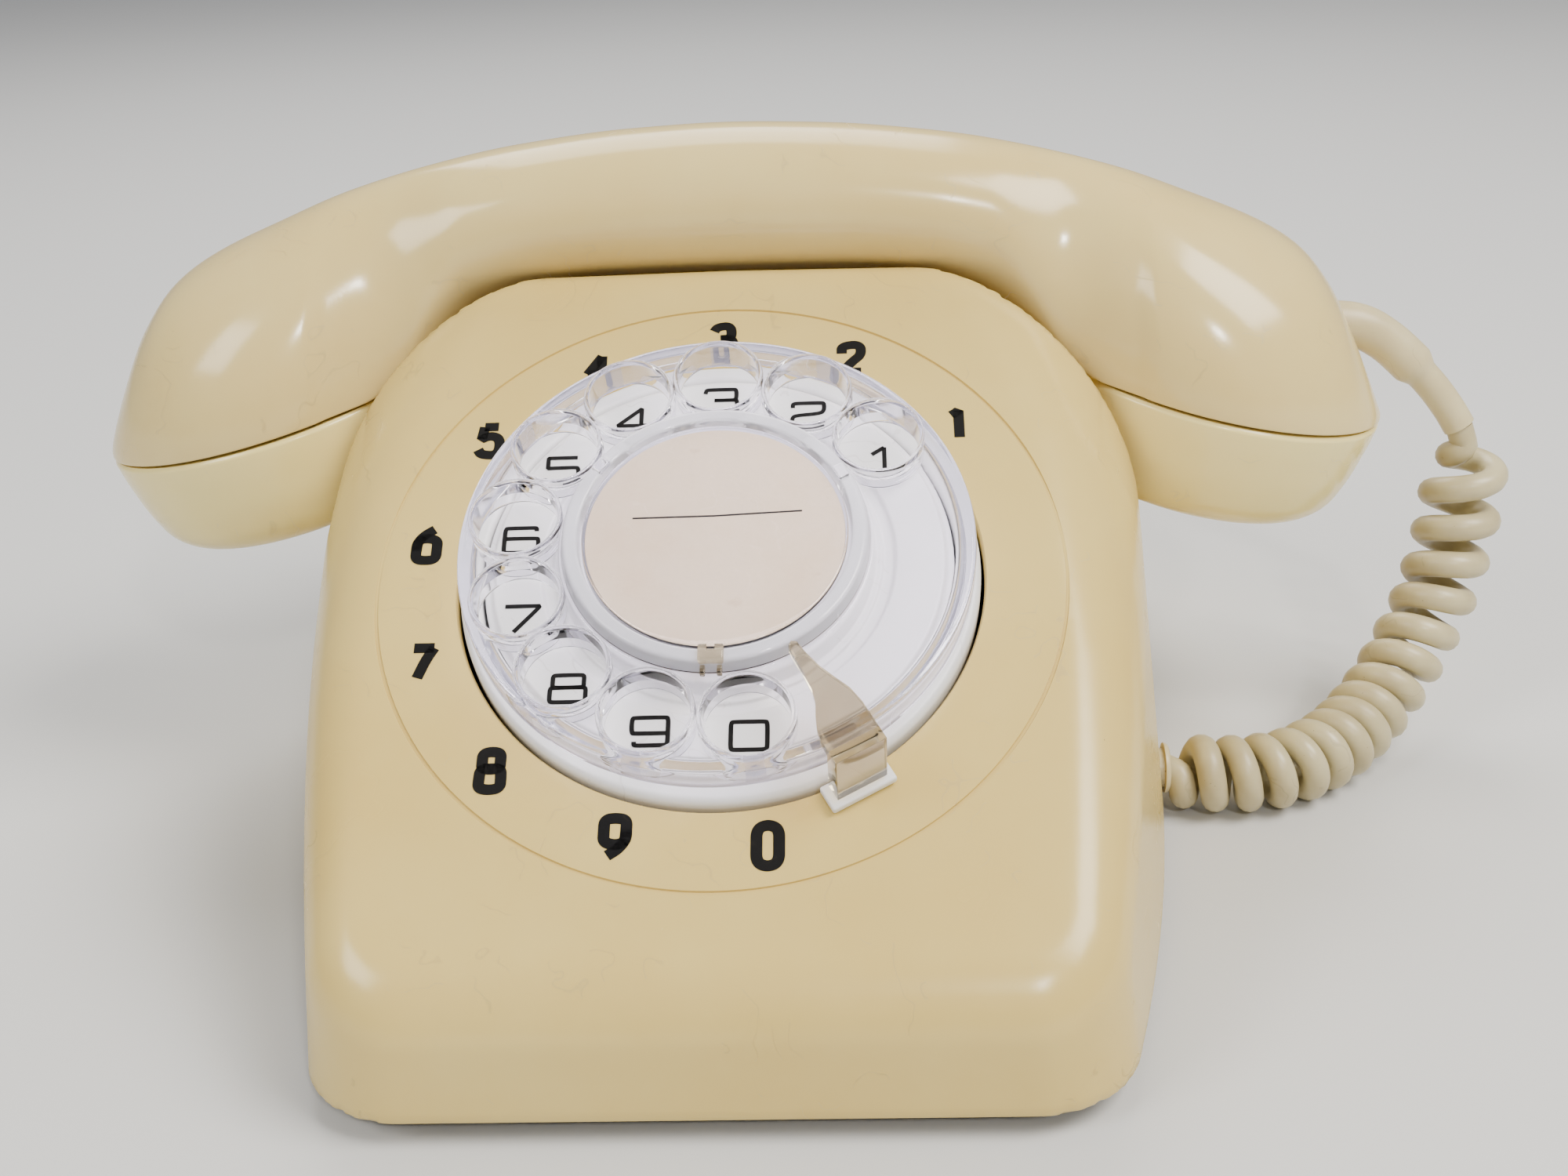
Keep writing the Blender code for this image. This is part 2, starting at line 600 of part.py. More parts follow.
def build_impulse_shaft(mats, dial):
    """Pinion shaft driven by the main gear, with the two-lobed cam that opens the impulse springs."""
    distance = (MAIN_TEETH + PINION_TEETH) * GEAR_MODULE / 2
    axis = bpy.data.objects.new("impulse_axis", None)
    bpy.context.collection.objects.link(axis)
    axis.parent = dial
    axis.matrix_basis = place_at(distance, 0.0)
    gear_low = GEAR_TOP - GEAR_THICK
    # a gap between two teeth faces the main gear's tooth
    outline = gear_outline(PINION_TEETH, math.pi + math.pi / PINION_TEETH)
    pinion = make_object("impulse_pinion", prism(outline, gear_low, GEAR_TOP), mats["brass"], axis)
    top = gear_low - GAP
    shaft = cylinder_cutter("join_impulse_shaft", 0.0009, REAR_PLATE_TOP + GAP, gear_low + 0.0004, Matrix(), 12, axis)
    boolean(pinion, shaft, "UNION")
    lobes = []
    for k in range(24):
        turn = 2 * math.pi * k / 24
        lobes.append(polar(0.0036 + 0.0010 * math.cos(2 * turn), turn))
    cam = make_object("impulse_cam", prism(lobes, top - 0.0030, top - 0.0016), mats["phenolic"], axis)
    boolean(cam, cylinder_cutter("cut_cam", 0.0009 + GAP, -0.03, 0.0, Matrix(), 12, axis))
    return axis


def build_governor(mats, dial):
    """Speed governor: a worm shaft with a weighted head that spins inside a fixed cup."""
    distance = (MAIN_TEETH + PINION_TEETH) * GEAR_MODULE / 2
    axis = bpy.data.objects.new("governor_axis", None)
    bpy.context.collection.objects.link(axis)
    axis.parent = dial
    lift = REAR_PLATE_TOP + 0.0042
    axis.matrix_basis = Matrix.Translation((distance + 0.0068, 0, lift)) @ Matrix.Rotation(-math.pi / 2, 4, "X")
    shaft = [(0, -0.0080), (0.0008, -0.0080), (0.0008, -0.0040), (0.0014, -0.0036), (0.0014, 0.0036),
             (0.0008, 0.0040), (0.0008, 0.0090), (0, 0.0090)]
    make_object("governor_worm", lathe(shaft, 12), mats["brass"], axis)
    head = make_object("governor_weights", block((-0.0030, -0.0011, 0.0094), (0.0030, 0.0011, 0.0118), 0.0003),
                       mats["brass"], axis)
    head.parent = axis
    cup = [(0.0035, 0.0092), (0.0041, 0.0092), (0.0041, 0.0130), (0, 0.0130), (0, 0.0122), (0.0035, 0.0122)]
    make_object("governor_cup", lathe(cup, 20), mats["steel"], axis)


# ---- handset ----------------------------------------------------------------------------------

HANDLE_TOP = ((0.000, 0.1194), (0.017, 0.1188), (0.037, 0.1167), (0.053, 0.1137), (0.068, 0.1096),
              (0.081, 0.1046), (0.094, 0.0990), (0.101, 0.0945), (0.106, 0.0885), (0.110, 0.0800),
              (0.113, 0.0735), (0.1155, 0.0672), (0.117, 0.0635))
HANDLE_UNDER = ((0.000, 0.0934), (0.020, 0.0931), (0.036, 0.0915), (0.044, 0.0885), (0.050, 0.0845),
                (0.055, 0.0802), (0.0590, 0.0765))
HANDLE_HALF = ((0.000, 0.0150), (0.044, 0.0150), (0.050, 0.0155), (0.055, 0.0166), (0.060, 0.0184),
               (0.066, 0.0218), (0.072, 0.0255))


def seam_height(x):
    return CUP_Z - math.tan(CUP_TILT) * (x - CUP_X)


def handle_under(x):
    x = abs(x)
    return max(table(HANDLE_UNDER, x), seam_height(x)) if x < 0.059 else seam_height(x)


def handle_half(x):
    reach = CUP_R * math.cos(CUP_TILT)
    if x < 0.072:
        return table(HANDLE_HALF, x)
    part = min(1.0, abs(x - CUP_X) / reach)
    return max(0.0012, CUP_R * math.sqrt(1 - part * part))


def handle_section(x):
    side = abs(x)
    top = table(HANDLE_TOP, side)
    under = handle_under(side)
    top = max(top, under + 0.0006)
    blend = min(1.0, max(0.0, (side - 0.045) / 0.027))
    blend = blend * blend * (3 - 2 * blend)
    middle = (1 - blend) * (top + under) / 2 + blend * under
    half = handle_half(side)
    loop = []
    count = 20
    for k in range(count):
        turn = 2 * math.pi * (k + 0.5) / count
        rise = math.sin(turn)
        height = middle + (top - middle) * rise if rise > 0 else middle + (middle - under) * rise
        loop.append((x, HANDSET_Y + half * math.cos(turn), height))
    return loop


def handle_stations():
    reach = CUP_R * math.cos(CUP_TILT)
    out = [0.0, 0.018, 0.034, 0.044, 0.050, 0.055, 0.060, 0.066, 0.073, 0.081]
    out += [CUP_X + reach * math.sin(math.pi / 2 * k / 8) for k in range(9)]
    return [-x for x in reversed(out[1:])] + out


def cup_axis(side):
    """Frame of one cup: origin in the seam's middle, Z out through the cap."""
    turn = Matrix.Rotation(math.pi + side * CUP_TILT, 4, "Y")
    return Matrix.Translation((side * CUP_X, HANDSET_Y, CUP_Z)) @ turn


def boot_route():
    return [(0.1050, 0.0300, 0.0800), (0.1135, 0.0300, 0.0797), (0.1190, 0.0300, 0.0770),
            (0.1240, 0.0295, 0.0725), (0.1285, 0.0290, 0.0670), (0.1320, 0.0285, 0.0620),
            (0.1345, 0.0280, 0.0580)]


def build_handset(mats):
    handle = make_object("handset_handle", loft([handle_section(x) for x in handle_stations()]), mats["ivory"])
    right = [(0.0, 0.1062), (0.030, 0.1035), (0.060, 0.094), (0.078, 0.084)]
    route = [(-x, HANDSET_Y, z) for x, z in reversed(right[1:])] + [(x, HANDSET_Y, z) for x, z in right]
    boolean(handle, make_cutter(make_object("cut_duct", bar(route, [0.0045] * len(route), 10), None)))
    for side, tag, capsule in ((-1, "receiver", "receiver_capsule"), (1, "transmitter", "transmitter_capsule")):
        frame = cup_axis(side)
        boolean(handle, cylinder_cutter("cut_cup_" + tag, CAP_BORE_R, -0.0045, 0.010, frame, 28))
        boolean(handle, cylinder_cutter("cut_cup_inner_" + tag, CUP_BORE_R, -0.0130, -0.0040, frame, 24))
        r = CUP_R
        outer = [(r, GAP), (r - 0.0006, 0.0040), (r - 0.0019, CAP_DEPTH - 0.0095), (r - 0.0037, CAP_DEPTH - 0.0043),
                 (r - 0.0065, CAP_DEPTH - 0.0012), (r - 0.0105, CAP_DEPTH), (0, CAP_DEPTH)]
        wall = 0.0020
        inner = [(0, CAP_DEPTH - wall), (r - 0.0105 - wall, CAP_DEPTH - wall), (r - 0.0055 - wall, CAP_DEPTH - 0.0045),
                 (CAP_BORE_R - GAP - wall, 0.0060), (CAP_BORE_R - GAP - wall, -0.0035),
                 (CAP_BORE_R - GAP, -0.0035), (CAP_BORE_R - GAP, GAP)]
        cap = make_object(tag + "_cap", lathe(outer + inner, 32), mats["ivory"], None, frame)
        bm = bmesh.new()
        for k in range(7):
            x, y = (0.0, 0.0) if k == 6 else polar(0.0075, math.pi / 3 * k)
            prism(circle(0.0012, 8, x, y), CAP_DEPTH - 0.005, CAP_DEPTH + 0.005, bm)
        boolean(cap, make_cutter(make_object("cut_" + tag + "_holes", bm, None, None, frame)))
        disc_r = CAP_BORE_R - GAP - wall - 0.0006
        disc = [(0, -0.0060), (disc_r - 0.0045, -0.0060), (disc_r, -0.0020), (disc_r, 0.0060),
                (disc_r - 0.0035, 0.0120), (0, 0.0120)]
        make_object(capsule, lathe(disc, 28), mats["aluminium"], None, frame)
    path = smooth_path(boot_route(), 0.0035)
    radii = [BOOT_R if k < len(path) * 0.62 else CORD_R for k in range(len(path))]
    tube("cord_boot", path, radii, mats["cord"], 3)
    path[0] = path[0] - (path[1] - path[0]).normalized() * GAP
    socket = bar(path[:6], [BOOT_R * 1.03 + GAP] * 6, 20)
    boolean(handle, make_cutter(make_object("cut_boot", socket, None)))


# ---- cradle switch ----------------------------------------------------------------------------

def build_cradle(mats):
    top = handle_under(PLUNGER_X) - GAP * 2
    flange = CHANNEL_FLOOR - WALL - 0.0090
    bar_top = flange - 0.0030
    for side, tag in ((-1, "left"), (1, "right")):
        x = side * PLUNGER_X
        place = place_at(x, HANDSET_Y)
        rod = [(0, bar_top + GAP), (PLUNGER_R + 0.0015, bar_top + GAP), (PLUNGER_R + 0.0015, flange),
               (PLUNGER_R, flange), (PLUNGER_R, top - 0.0010), (PLUNGER_R - 0.0010, top), (0, top)]
        make_object("cradle_plunger_" + tag, lathe(rod, 20), mats["ivory"], None, place)
    half = PLUNGER_X + 0.0060
    make_object("plunger_bar", block((-half, HANDSET_Y - 0.0035, bar_top - 0.0030), (half, HANDSET_Y + 0.0035,
                bar_top), 0.0004), mats["phenolic"])
    base = CASE_BOTTOM + 2 * GAP + PLATE_THICK
    wide, leg = PLUNGER_X + 0.0090, 0.0016
    outline = [(-wide, base), (-wide + leg, base), (-wide + leg, BRIDGE_TOP - leg), (wide - leg, BRIDGE_TOP - leg),
               (wide - leg, base), (wide, base), (wide, BRIDGE_TOP), (-wide, BRIDGE_TOP)]
    turn = Matrix.Translation((0, HANDSET_Y + 0.0060, 0)) @ Matrix.Rotation(math.pi / 2, 4, "X")
    make_object("hook_switch_bridge", prism(outline, 0.0, 0.0120), mats["steel"], None, turn)
    # rocking lever under the bar, and the contact springs it works
    lever_z = bar_top - 0.0030 - 0.0040
    axis = bpy.data.objects.new("hook_lever_axis", None)
    bpy.context.collection.objects.link(axis)
    axis.matrix_basis = place_at(0.0200, HANDSET_Y, lever_z)
    outline = [(-0.0200, 0.0020), (-0.0180, 0.0036), (-0.0160, 0.0020), (0.0, 0.0022), (0.0, -0.0022),
               (-0.0200, 0.0004)]
    lever = prism(outline, -0.0020, 0.0020)
    lever_obj = make_object("hook_lever", lever, mats["phenolic"], axis, Matrix.Rotation(math.pi / 2, 4, "X"))
    lever_obj.parent = axis
    post = block((0.0180 + 0.0025, HANDSET_Y - 0.0020, BRIDGE_TOP + GAP), (0.0255, HANDSET_Y + 0.0020,
                 lever_z + 0.0020), 0.0003)
    make_object("hook_lever_post", post, mats["phenolic"])
    turns, low = 5, BRIDGE_TOP + 0.0008
    rise = bar_top - 0.0030 - 0.0008 - low
    wire = [(-0.0290 + 0.0028 * math.cos(2 * math.pi * k / 8), HANDSET_Y + 0.0028 * math.sin(2 * math.pi * k / 8),
             low + rise * k / (turns * 8)) for k in range(turns * 8 + 1)]
    tube("cradle_spring", wire, [0.0003] * len(wire), mats["steel"], 0)
    make_object("hook_contact_block", block((-0.0240, HANDSET_Y - 0.0030, BRIDGE_TOP + GAP), (-0.0183,
                HANDSET_Y + 0.0030, BRIDGE_TOP + 0.0080), 0.0004), mats["phenolic"])
    for k in range(2):
        z = BRIDGE_TOP + 0.0040 + 0.0016 * k
        make_object("hook_contact_%d" % (k + 1), block((-0.0180, HANDSET_Y - 0.0015, z), (0.0060,
                    HANDSET_Y + 0.0015, z + 0.0004)), mats["brass"])
    return bar_top, lever_z


# ---- ringer and circuit -----------------------------------------------------------------------

def build_ringer(mats):
    base = CASE_BOTTOM + 2 * GAP + PLATE_THICK
    for side, tag in ((-1, "left"), (1, "right")):
        place = place_at(side * GONG_X, GONG_Y)
        r, w = GONG_R, GONG_WALL
        gong = [(r, GONG_LOW), (r - 0.0010, GONG_LOW + 0.0080), (r - 0.0060, GONG_HIGH - 0.0030),
                (r - 0.0120, GONG_HIGH), (0.0030, GONG_HIGH), (0.0030, GONG_HIGH - w),
                (r - 0.0120 - w / 2, GONG_HIGH - w), (r - 0.0060 - w, GONG_HIGH - 0.0030 - w),
                (r - 0.0010 - w, GONG_LOW + 0.0080), (r - w, GONG_LOW)]
        make_object("gong_" + tag, lathe(gong, 28), mats["brass"], None, place)
        post_top = GONG_HIGH - w - GAP
        screw = [(0, post_top + GAP), (0.0020, post_top + GAP), (0.0020, GONG_HIGH + GAP),
                 (0.0045, GONG_HIGH + GAP), (0.0040, GONG_HIGH + 0.0022), (0, GONG_HIGH + 0.0026)]
        make_object("gong_screw_" + tag, lathe(screw, 14), mats["steel"], None, place)
        coil_x = side * 0.0095
        coil = [(0, 0), (0.0085, 0), (0.0085, 0.0012), (0.0076, 0.0012), (0.0076, 0.0228), (0.0085, 0.0228),
                (0.0085, 0.0240), (0.0030, 0.0240), (0.0030, 0.0256), (0, 0.0256)]
        make_object("ringer_coil_" + tag, lathe(coil, 20), mats["winding"], None, along_y(coil_x, -0.0096, 0.0165))
    make_object("ringer_yoke", block((-0.0190, -0.0135, base), (0.0190, -0.0103, 0.0260), 0.0004), mats["steel"])
    # clapper: rod and ball swinging between the gongs about an upright pivot
    axis = bpy.data.objects.new("clapper_axis", None)
    bpy.context.collection.objects.link(axis)
    axis.matrix_basis = place_at(0.0, 0.0220, 0.0165)
    ball = [(0, -0.0032), (0.0022, -0.0023), (0.0032, 0.0), (0.0022, 0.0023), (0, 0.0032)]
    bm = lathe(ball, 14)
    ball_obj = make_object("join_clapper_ball", bm, None, axis, place_at(0.0, GONG_Y - 0.0220))
    make_cutter(ball_obj)
    clapper = make_object("clapper", block((-0.0007, 0.0015, -0.0007), (0.0007, GONG_Y - 0.0235, 0.0007)),
                          mats["steel"], axis)
    boolean(clapper, ball_obj, "UNION")
    bar_obj = make_object("join_armature", block((-0.0130, -0.0012, -0.0030), (0.0130, 0.0016, 0.0030)), None, axis)
    boolean(clapper, make_cutter(bar_obj), "UNION")


def build_circuit(mats):
    low = BOARD_Z
    board = block((-0.0440, -0.0860, low), (0.0340, -0.0400, low + 0.0016))
    make_object("circuit_board", board, mats["phenolic"])
    top = low + 0.0016 + GAP
    make_object("induction_coil", block((-0.0380, -0.0780, top), (-0.0200, -0.0560, top + 0.0100), 0.0010),
                mats["winding"])
    make_object("speech_capacitor", block((-0.0120, -0.0740, top), (0.0060, -0.0640, top + 0.0080), 0.0008),
                mats["aluminium"])
    make_object("terminal_block", block((0.0120, -0.0800, top), (0.0300, -0.0620, top + 0.0060), 0.0006),
                mats["phenolic"])


# ---- cords ------------------------------------------------------------------------------------

def cord_route():
    """Middle line of the curly cord, from the case's side to the handset's boot."""
    return [(0.0806, GLAND_Y, 0.0086), (0.0885, -0.0122, 0.0074), (0.0950, -0.0108, 0.0073),
            (0.1013, -0.0075, 0.0073), (0.1085, -0.0015, 0.0078), (0.1150, 0.0055, 0.0096),
            (0.1200, 0.0105, 0.0130), (0.1255, 0.0155, 0.0185), (0.1310, 0.0200, 0.0265),
            (0.1340, 0.0230, 0.0340), (0.1358, 0.0250, 0.0410), (0.1368, 0.0266, 0.0475),
            (0.1363, 0.0276, 0.0545)]


def build_cords(mats):
    side = case_side(GLAND_Y)
    face = side + 0.0014
    gland = [(0.0030, side - 0.0028), (0.0036, side - 0.0028), (0.0036, face), (0.0055, face),
             (0.0050, face + 0.0020), (0.0030, face + 0.0020)]
    make_object("handset_cord_gland", lathe(gland, 20), mats["cord"], None, along_x(0, GLAND_Y, GLAND_Z))
    inlet = [(0.0026, CASE_HALF_DEPTH - 0.0040), (0.0036, CASE_HALF_DEPTH - 0.0040),
             (0.0036, CASE_HALF_DEPTH - 0.0003), (0.0026, CASE_HALF_DEPTH - 0.0003)]
    make_object("line_cord_inlet", lathe(inlet, 20), mats["rubber"], None, along_y(INLET_X, 0, INLET_Z))
    path = smooth_path(cord_route(), 0.0065)
    tube("handset_cord", path, [CORD_COIL_R] * len(path), mats["cord"], 2)


def build():
    clear_scene()
    mats = {
        "ivory": make_material("ivory_plastic", (0.68, 0.58, 0.36), 0.22),
        "white": make_material("white_plastic", (0.80, 0.80, 0.80), 0.30),
        "clear": make_material("clear_acrylic", (0.90, 0.90, 0.94), 0.05),
        "smoke": make_material("smoked_acrylic", (0.55, 0.52, 0.45), 0.08),
        "card": make_material("label_card", (0.74, 0.62, 0.50), 0.70),
        "black": make_material("black_base", (0.03, 0.03, 0.03), 0.50),
        "rubber": make_material("black_rubber", (0.02, 0.02, 0.02), 0.80),
        "steel": make_material("plated_steel", (0.60, 0.60, 0.60), 0.30, 1.0),
        "brass": make_material("brass", (0.70, 0.55, 0.25), 0.30, 1.0),
        "aluminium": make_material("aluminium", (0.75, 0.75, 0.76), 0.35, 1.0),
        "phenolic": make_material("brown_phenolic", (0.20, 0.09, 0.04), 0.50),
        "winding": make_material("wound_copper", (0.45, 0.18, 0.07), 0.40),
        "cord": make_material("cord_vinyl", (0.42, 0.38, 0.25), 0.35),
    }
    dial = bpy.data.objects.new("dial_axis", None)
    bpy.context.collection.objects.link(dial)
    dial.matrix_basis = place_at(0.0, DIAL_Y, DIAL_Z) @ Matrix.Rotation(FACE_SLOPE, 4, "X")
    build_case(mats, dial)
    build_base(mats)
    build_dial_fixed(mats, dial)
    build_dial_turning(mats, dial)
    build_impulse_shaft(mats, dial)
    build_governor(mats, dial)
    build_handset(mats)
    build_cradle(mats)
    build_ringer(mats)
    build_circuit(mats)
    build_cords(mats)


build()
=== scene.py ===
import math

import bmesh
import bpy
import numpy as np
from mathutils import Matrix, Vector


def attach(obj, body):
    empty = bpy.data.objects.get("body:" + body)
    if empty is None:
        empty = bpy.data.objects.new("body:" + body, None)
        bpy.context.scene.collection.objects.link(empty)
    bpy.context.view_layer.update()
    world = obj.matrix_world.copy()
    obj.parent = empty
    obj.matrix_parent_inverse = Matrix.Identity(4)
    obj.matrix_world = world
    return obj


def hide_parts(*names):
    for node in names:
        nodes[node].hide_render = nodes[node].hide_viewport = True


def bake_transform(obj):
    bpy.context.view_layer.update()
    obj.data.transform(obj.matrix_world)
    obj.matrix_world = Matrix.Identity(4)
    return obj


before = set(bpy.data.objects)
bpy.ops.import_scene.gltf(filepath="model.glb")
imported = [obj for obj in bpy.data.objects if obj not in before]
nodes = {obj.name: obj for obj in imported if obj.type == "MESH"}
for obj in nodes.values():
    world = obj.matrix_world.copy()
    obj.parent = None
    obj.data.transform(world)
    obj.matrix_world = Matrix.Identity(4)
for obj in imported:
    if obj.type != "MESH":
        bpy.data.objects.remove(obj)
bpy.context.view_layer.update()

mm = 0.001

# the dial lies on the sloping face: its middle, its slope, and the turn that lays a piece on it
dialPlace = {"y": -43.0 * mm, "z": 61.8 * mm, "slope": math.radians(33.6)}
dialFrame = (Matrix.Translation((0, dialPlace["y"], dialPlace["z"]))
             @ Matrix.Rotation(dialPlace["slope"], 4, "X"))
handsetY = 23.0 * mm


# small helpers for meshes

def meshObject(name, verts, faces, mats, smooth=True, sharp=40):
    mesh = bpy.data.meshes.new(name)
    mesh.from_pydata([tuple(v) for v in verts], [], [tuple(f) for f in faces])
    bm = bmesh.new()
    bm.from_mesh(mesh)
    bmesh.ops.remove_doubles(bm, verts=bm.verts, dist=0.004 * mm)
    bmesh.ops.recalc_face_normals(bm, faces=bm.faces)
    bm.to_mesh(mesh)
    bm.free()
    return finishMesh(name, mesh, mats, smooth, sharp)


def finishMesh(name, mesh, mats, smooth=True, sharp=40):
    if smooth:
        mesh.shade_smooth()
        mesh.set_sharp_from_angle(angle=math.radians(sharp))
    for mat in (mats if isinstance(mats, (list, tuple)) else [mats]):
        if mat:
            mesh.materials.append(mat)
    obj = bpy.data.objects.new(name, mesh)
    bpy.context.scene.collection.objects.link(obj)
    return obj


def shaded(obj, angle):
    obj.data.shade_smooth()
    obj.data.set_sharp_from_angle(angle=math.radians(angle))
    return obj


def placed(obj, matrix):
    obj.data.transform(matrix)
    return obj


def lathe(name, profile, count, mats, matrix=Matrix.Identity(4), sharp=40):
    # profile is (radius, height) in mm, run as a closed outline; radius 0 closes on the axis
    verts, rings = [], []
    for radius, height in profile:
        if radius == 0:
            rings.append([len(verts)] * count)
            verts.append((0, 0, height * mm))
        else:
            rings.append(list(range(len(verts), len(verts) + count)))
            for k in range(count):
                turn = 2 * math.pi * k / count
                verts.append((radius * mm * math.cos(turn), radius * mm * math.sin(turn), height * mm))
    faces = []
    for low, high in zip(rings, rings[1:] + rings[:1]):
        for k in range(count):
            n = (k + 1) % count
            corner = []
            for index in (low[k], low[n], high[n], high[k]):
                if index not in corner:
                    corner.append(index)
            if len(corner) > 2:
                faces.append(corner)
    return placed(meshObject(name, verts, faces, mats, sharp=sharp), matrix)


def roundedProfile(points, steps=4):
    # (radius, height, fillet) corners into an outline with real rounds, all in mm
    result = []
    count = len(points)
    for k, (r, z, fillet) in enumerate(points):
        here = Vector((r, z))
        if fillet == 0:
            result.append((r, z))
            continue
        before = Vector(points[k - 1][:2]) - here
        after = Vector(points[(k + 1) % count][:2]) - here
        reach = min(fillet, before.length * 0.49, after.length * 0.49)
        a, b = here + before.normalized() * reach, here + after.normalized() * reach
        for s in range(steps + 1):
            t = s / steps
            p = a * (1 - t) ** 2 + here * 2 * t * (1 - t) + b * t * t
            result.append((max(p.x, 0.0), p.y))
    return result


def tubeAlong(name, points, radii, count, mats):
    points = [Vector(p) for p in points]
    side = Vector((0.0, 0.3, 1.0))
    verts, faces = [], []
    for k, (place, radius) in enumerate(zip(points, radii)):
        ahead = (points[min(k + 1, len(points) - 1)] - points[max(k - 1, 0)]).normalized()
        side = (side - ahead * side.dot(ahead)).normalized()
        across = ahead.cross(side)
        for i in range(count):
            turn = 2 * math.pi * i / count
            verts.append(place + (side * math.cos(turn) + across * math.sin(turn)) * radius)
    for k in range(len(points) - 1):
        for i in range(count):
            n = (i + 1) % count
            faces.append((k * count + i, k * count + n, (k + 1) * count + n, (k + 1) * count + i))
    faces.append(tuple(reversed(range(count))))
    faces.append(tuple(range((len(points) - 1) * count, len(points) * count)))
    return meshObject(name, verts, faces, mats, sharp=50)


def smoothPath(points, step):
    # points a given step apart on a Catmull-Rom curve through the route
    pts = [Vector(p) for p in points]
    pts = [pts[0] * 2 - pts[1]] + pts + [pts[-1] * 2 - pts[-2]]
    dense = []
    for p0, p1, p2, p3 in zip(pts, pts[1:], pts[2:], pts[3:]):
        for k in range(40):
            t = k / 40
            dense.append(0.5 * ((2 * p1) + (p2 - p0) * t + (2 * p0 - 5 * p1 + 4 * p2 - p3) * t * t
                                + (3 * p1 - p0 - 3 * p2 + p3) * t ** 3))
    dense.append(pts[-2])
    run = [0.0]
    for a, b in zip(dense, dense[1:]):
        run.append(run[-1] + (b - a).length)
    count = max(2, round(run[-1] / step))
    target = [run[-1] * k / count for k in range(count + 1)]
    table = np.array([tuple(p) for p in dense])
    return [Vector([np.interp(t, run, table[:, i]) for i in range(3)]) for t in target]


def booleanCut(obj, cutters, operation="DIFFERENCE"):
    for cutter in cutters:
        mod = obj.modifiers.new("cut", "BOOLEAN")
        mod.operation = operation
        mod.solver = "EXACT"
        mod.object = cutter
    applyModifiers(obj)
    for cutter in cutters:
        bpy.data.objects.remove(cutter, do_unlink=True)
    return obj


def applyModifiers(obj):
    bpy.context.view_layer.update()
    graph = bpy.context.evaluated_depsgraph_get()
    mesh = bpy.data.meshes.new_from_object(obj.evaluated_get(graph), depsgraph=graph)
    obj.modifiers.clear()
    obj.data = mesh
    return obj


def bevelled(obj, width, segments):
    mod = obj.modifiers.new("bevel", "BEVEL")
    mod.width = width
    mod.segments = segments
    mod.limit_method = "ANGLE"
    mod.angle_limit = math.radians(30)
    mod.use_clamp_overlap = True
    return applyModifiers(obj)


# a rounded solid from a distance field, for the moulded case

def roundMax(a, b, r):
    return np.minimum(-r, np.maximum(a, b)) + np.hypot(np.maximum(a + r, 0), np.maximum(b + r, 0))


def roundMin(a, b, r):
    return -roundMax(-a, -b, r)


def fieldSlope(field, points):
    # how fast the field grows along each axis
    step = 0.01 * mm
    slopes = [field(*(points + d).T) - field(*(points - d).T) for d in np.eye(3) * step]
    return np.stack(slopes, 1) / (2 * step)


def ontoSurface(verts, field, cell, rounds):
    # draws points onto the field's zero surface, a part of a cell at a time
    for _ in range(rounds):
        slope = fieldSlope(field, verts)
        size = np.maximum((slope ** 2).sum(1), 0.05)
        move = -(field(*verts.T) / size)[:, None] * slope
        length = np.linalg.norm(move, axis=1, keepdims=True)
        verts = verts + move * np.minimum(1, 0.4 * cell / np.maximum(length, 1e-12))
    return verts


def mouldedMesh(name, field, low, high, cell, mats):
    # one vertex for each cell that the surface crosses, and one quad for each crossed grid edge
    axes = [np.arange(l, h + cell, cell) for l, h in zip(low, high)]
    grid = np.meshgrid(*axes, indexing="ij")
    value = field(*grid)
    shape = np.array(value.shape)
    total = np.zeros((*(shape - 1), 3))
    count = np.zeros(shape - 1, int)
    edges = []
    for axis in range(3):
        lower = [slice(None)] * 3
        upper = [slice(None)] * 3
        lower[axis], upper[axis] = slice(0, -1), slice(1, None)
        a, b = value[tuple(lower)], value[tuple(upper)]
        index = np.argwhere((a < 0) != (b < 0))
        va, vb = a[tuple(index.T)], b[tuple(index.T)]
        point = np.stack([axes[i][index[:, i]] for i in range(3)], 1)
        point[:, axis] += va / (va - vb) * cell
        one, two = (axis + 1) % 3, (axis + 2) % 3
        ring, good = [], np.ones(len(index), bool)
        for d1, d2 in ((-1, -1), (0, -1), (0, 0), (-1, 0)):
            cellIndex = index.copy()
            cellIndex[:, one] += d1
            cellIndex[:, two] += d2
            inside = np.all((cellIndex >= 0) & (cellIndex < shape - 1), axis=1)
            np.add.at(total, tuple(cellIndex[inside].T), point[inside])
            np.add.at(count, tuple(cellIndex[inside].T), 1)
            good &= inside
            ring.append(cellIndex)
        edges.append(([r[good] for r in ring], (va < 0)[good]))
    used = count > 0
    ids = np.full(count.shape, -1)
    ids[used] = np.arange(used.sum())
    verts = total[used] / count[used][:, None]
    quads = []
    for ring, outward in edges:
        quad = np.stack([ids[tuple(r.T)] for r in ring], 1)
        quad[~outward] = quad[~outward][:, ::-1]
        quads.append(quad)
    quads = np.concatenate(quads)
    verts = ontoSurface(verts, field, cell, 4)
    mesh = bpy.data.meshes.new(name)
    mesh.from_pydata(verts.tolist(), [], quads.tolist())
    mesh.validate()
    return finishMesh(name, mesh, mats, True, 50)


def groupSocket(group, name, kind, direction, value=None):
    socket = group.interface.new_socket(name=name, in_out=direction, socket_type=kind)
    if value is not None:
        socket.default_value = value


def makeNode(tree, kind, **settings):
    node = tree.nodes.new(kind)
    for key, value in settings.items():
        setattr(node, key, value)
    return node


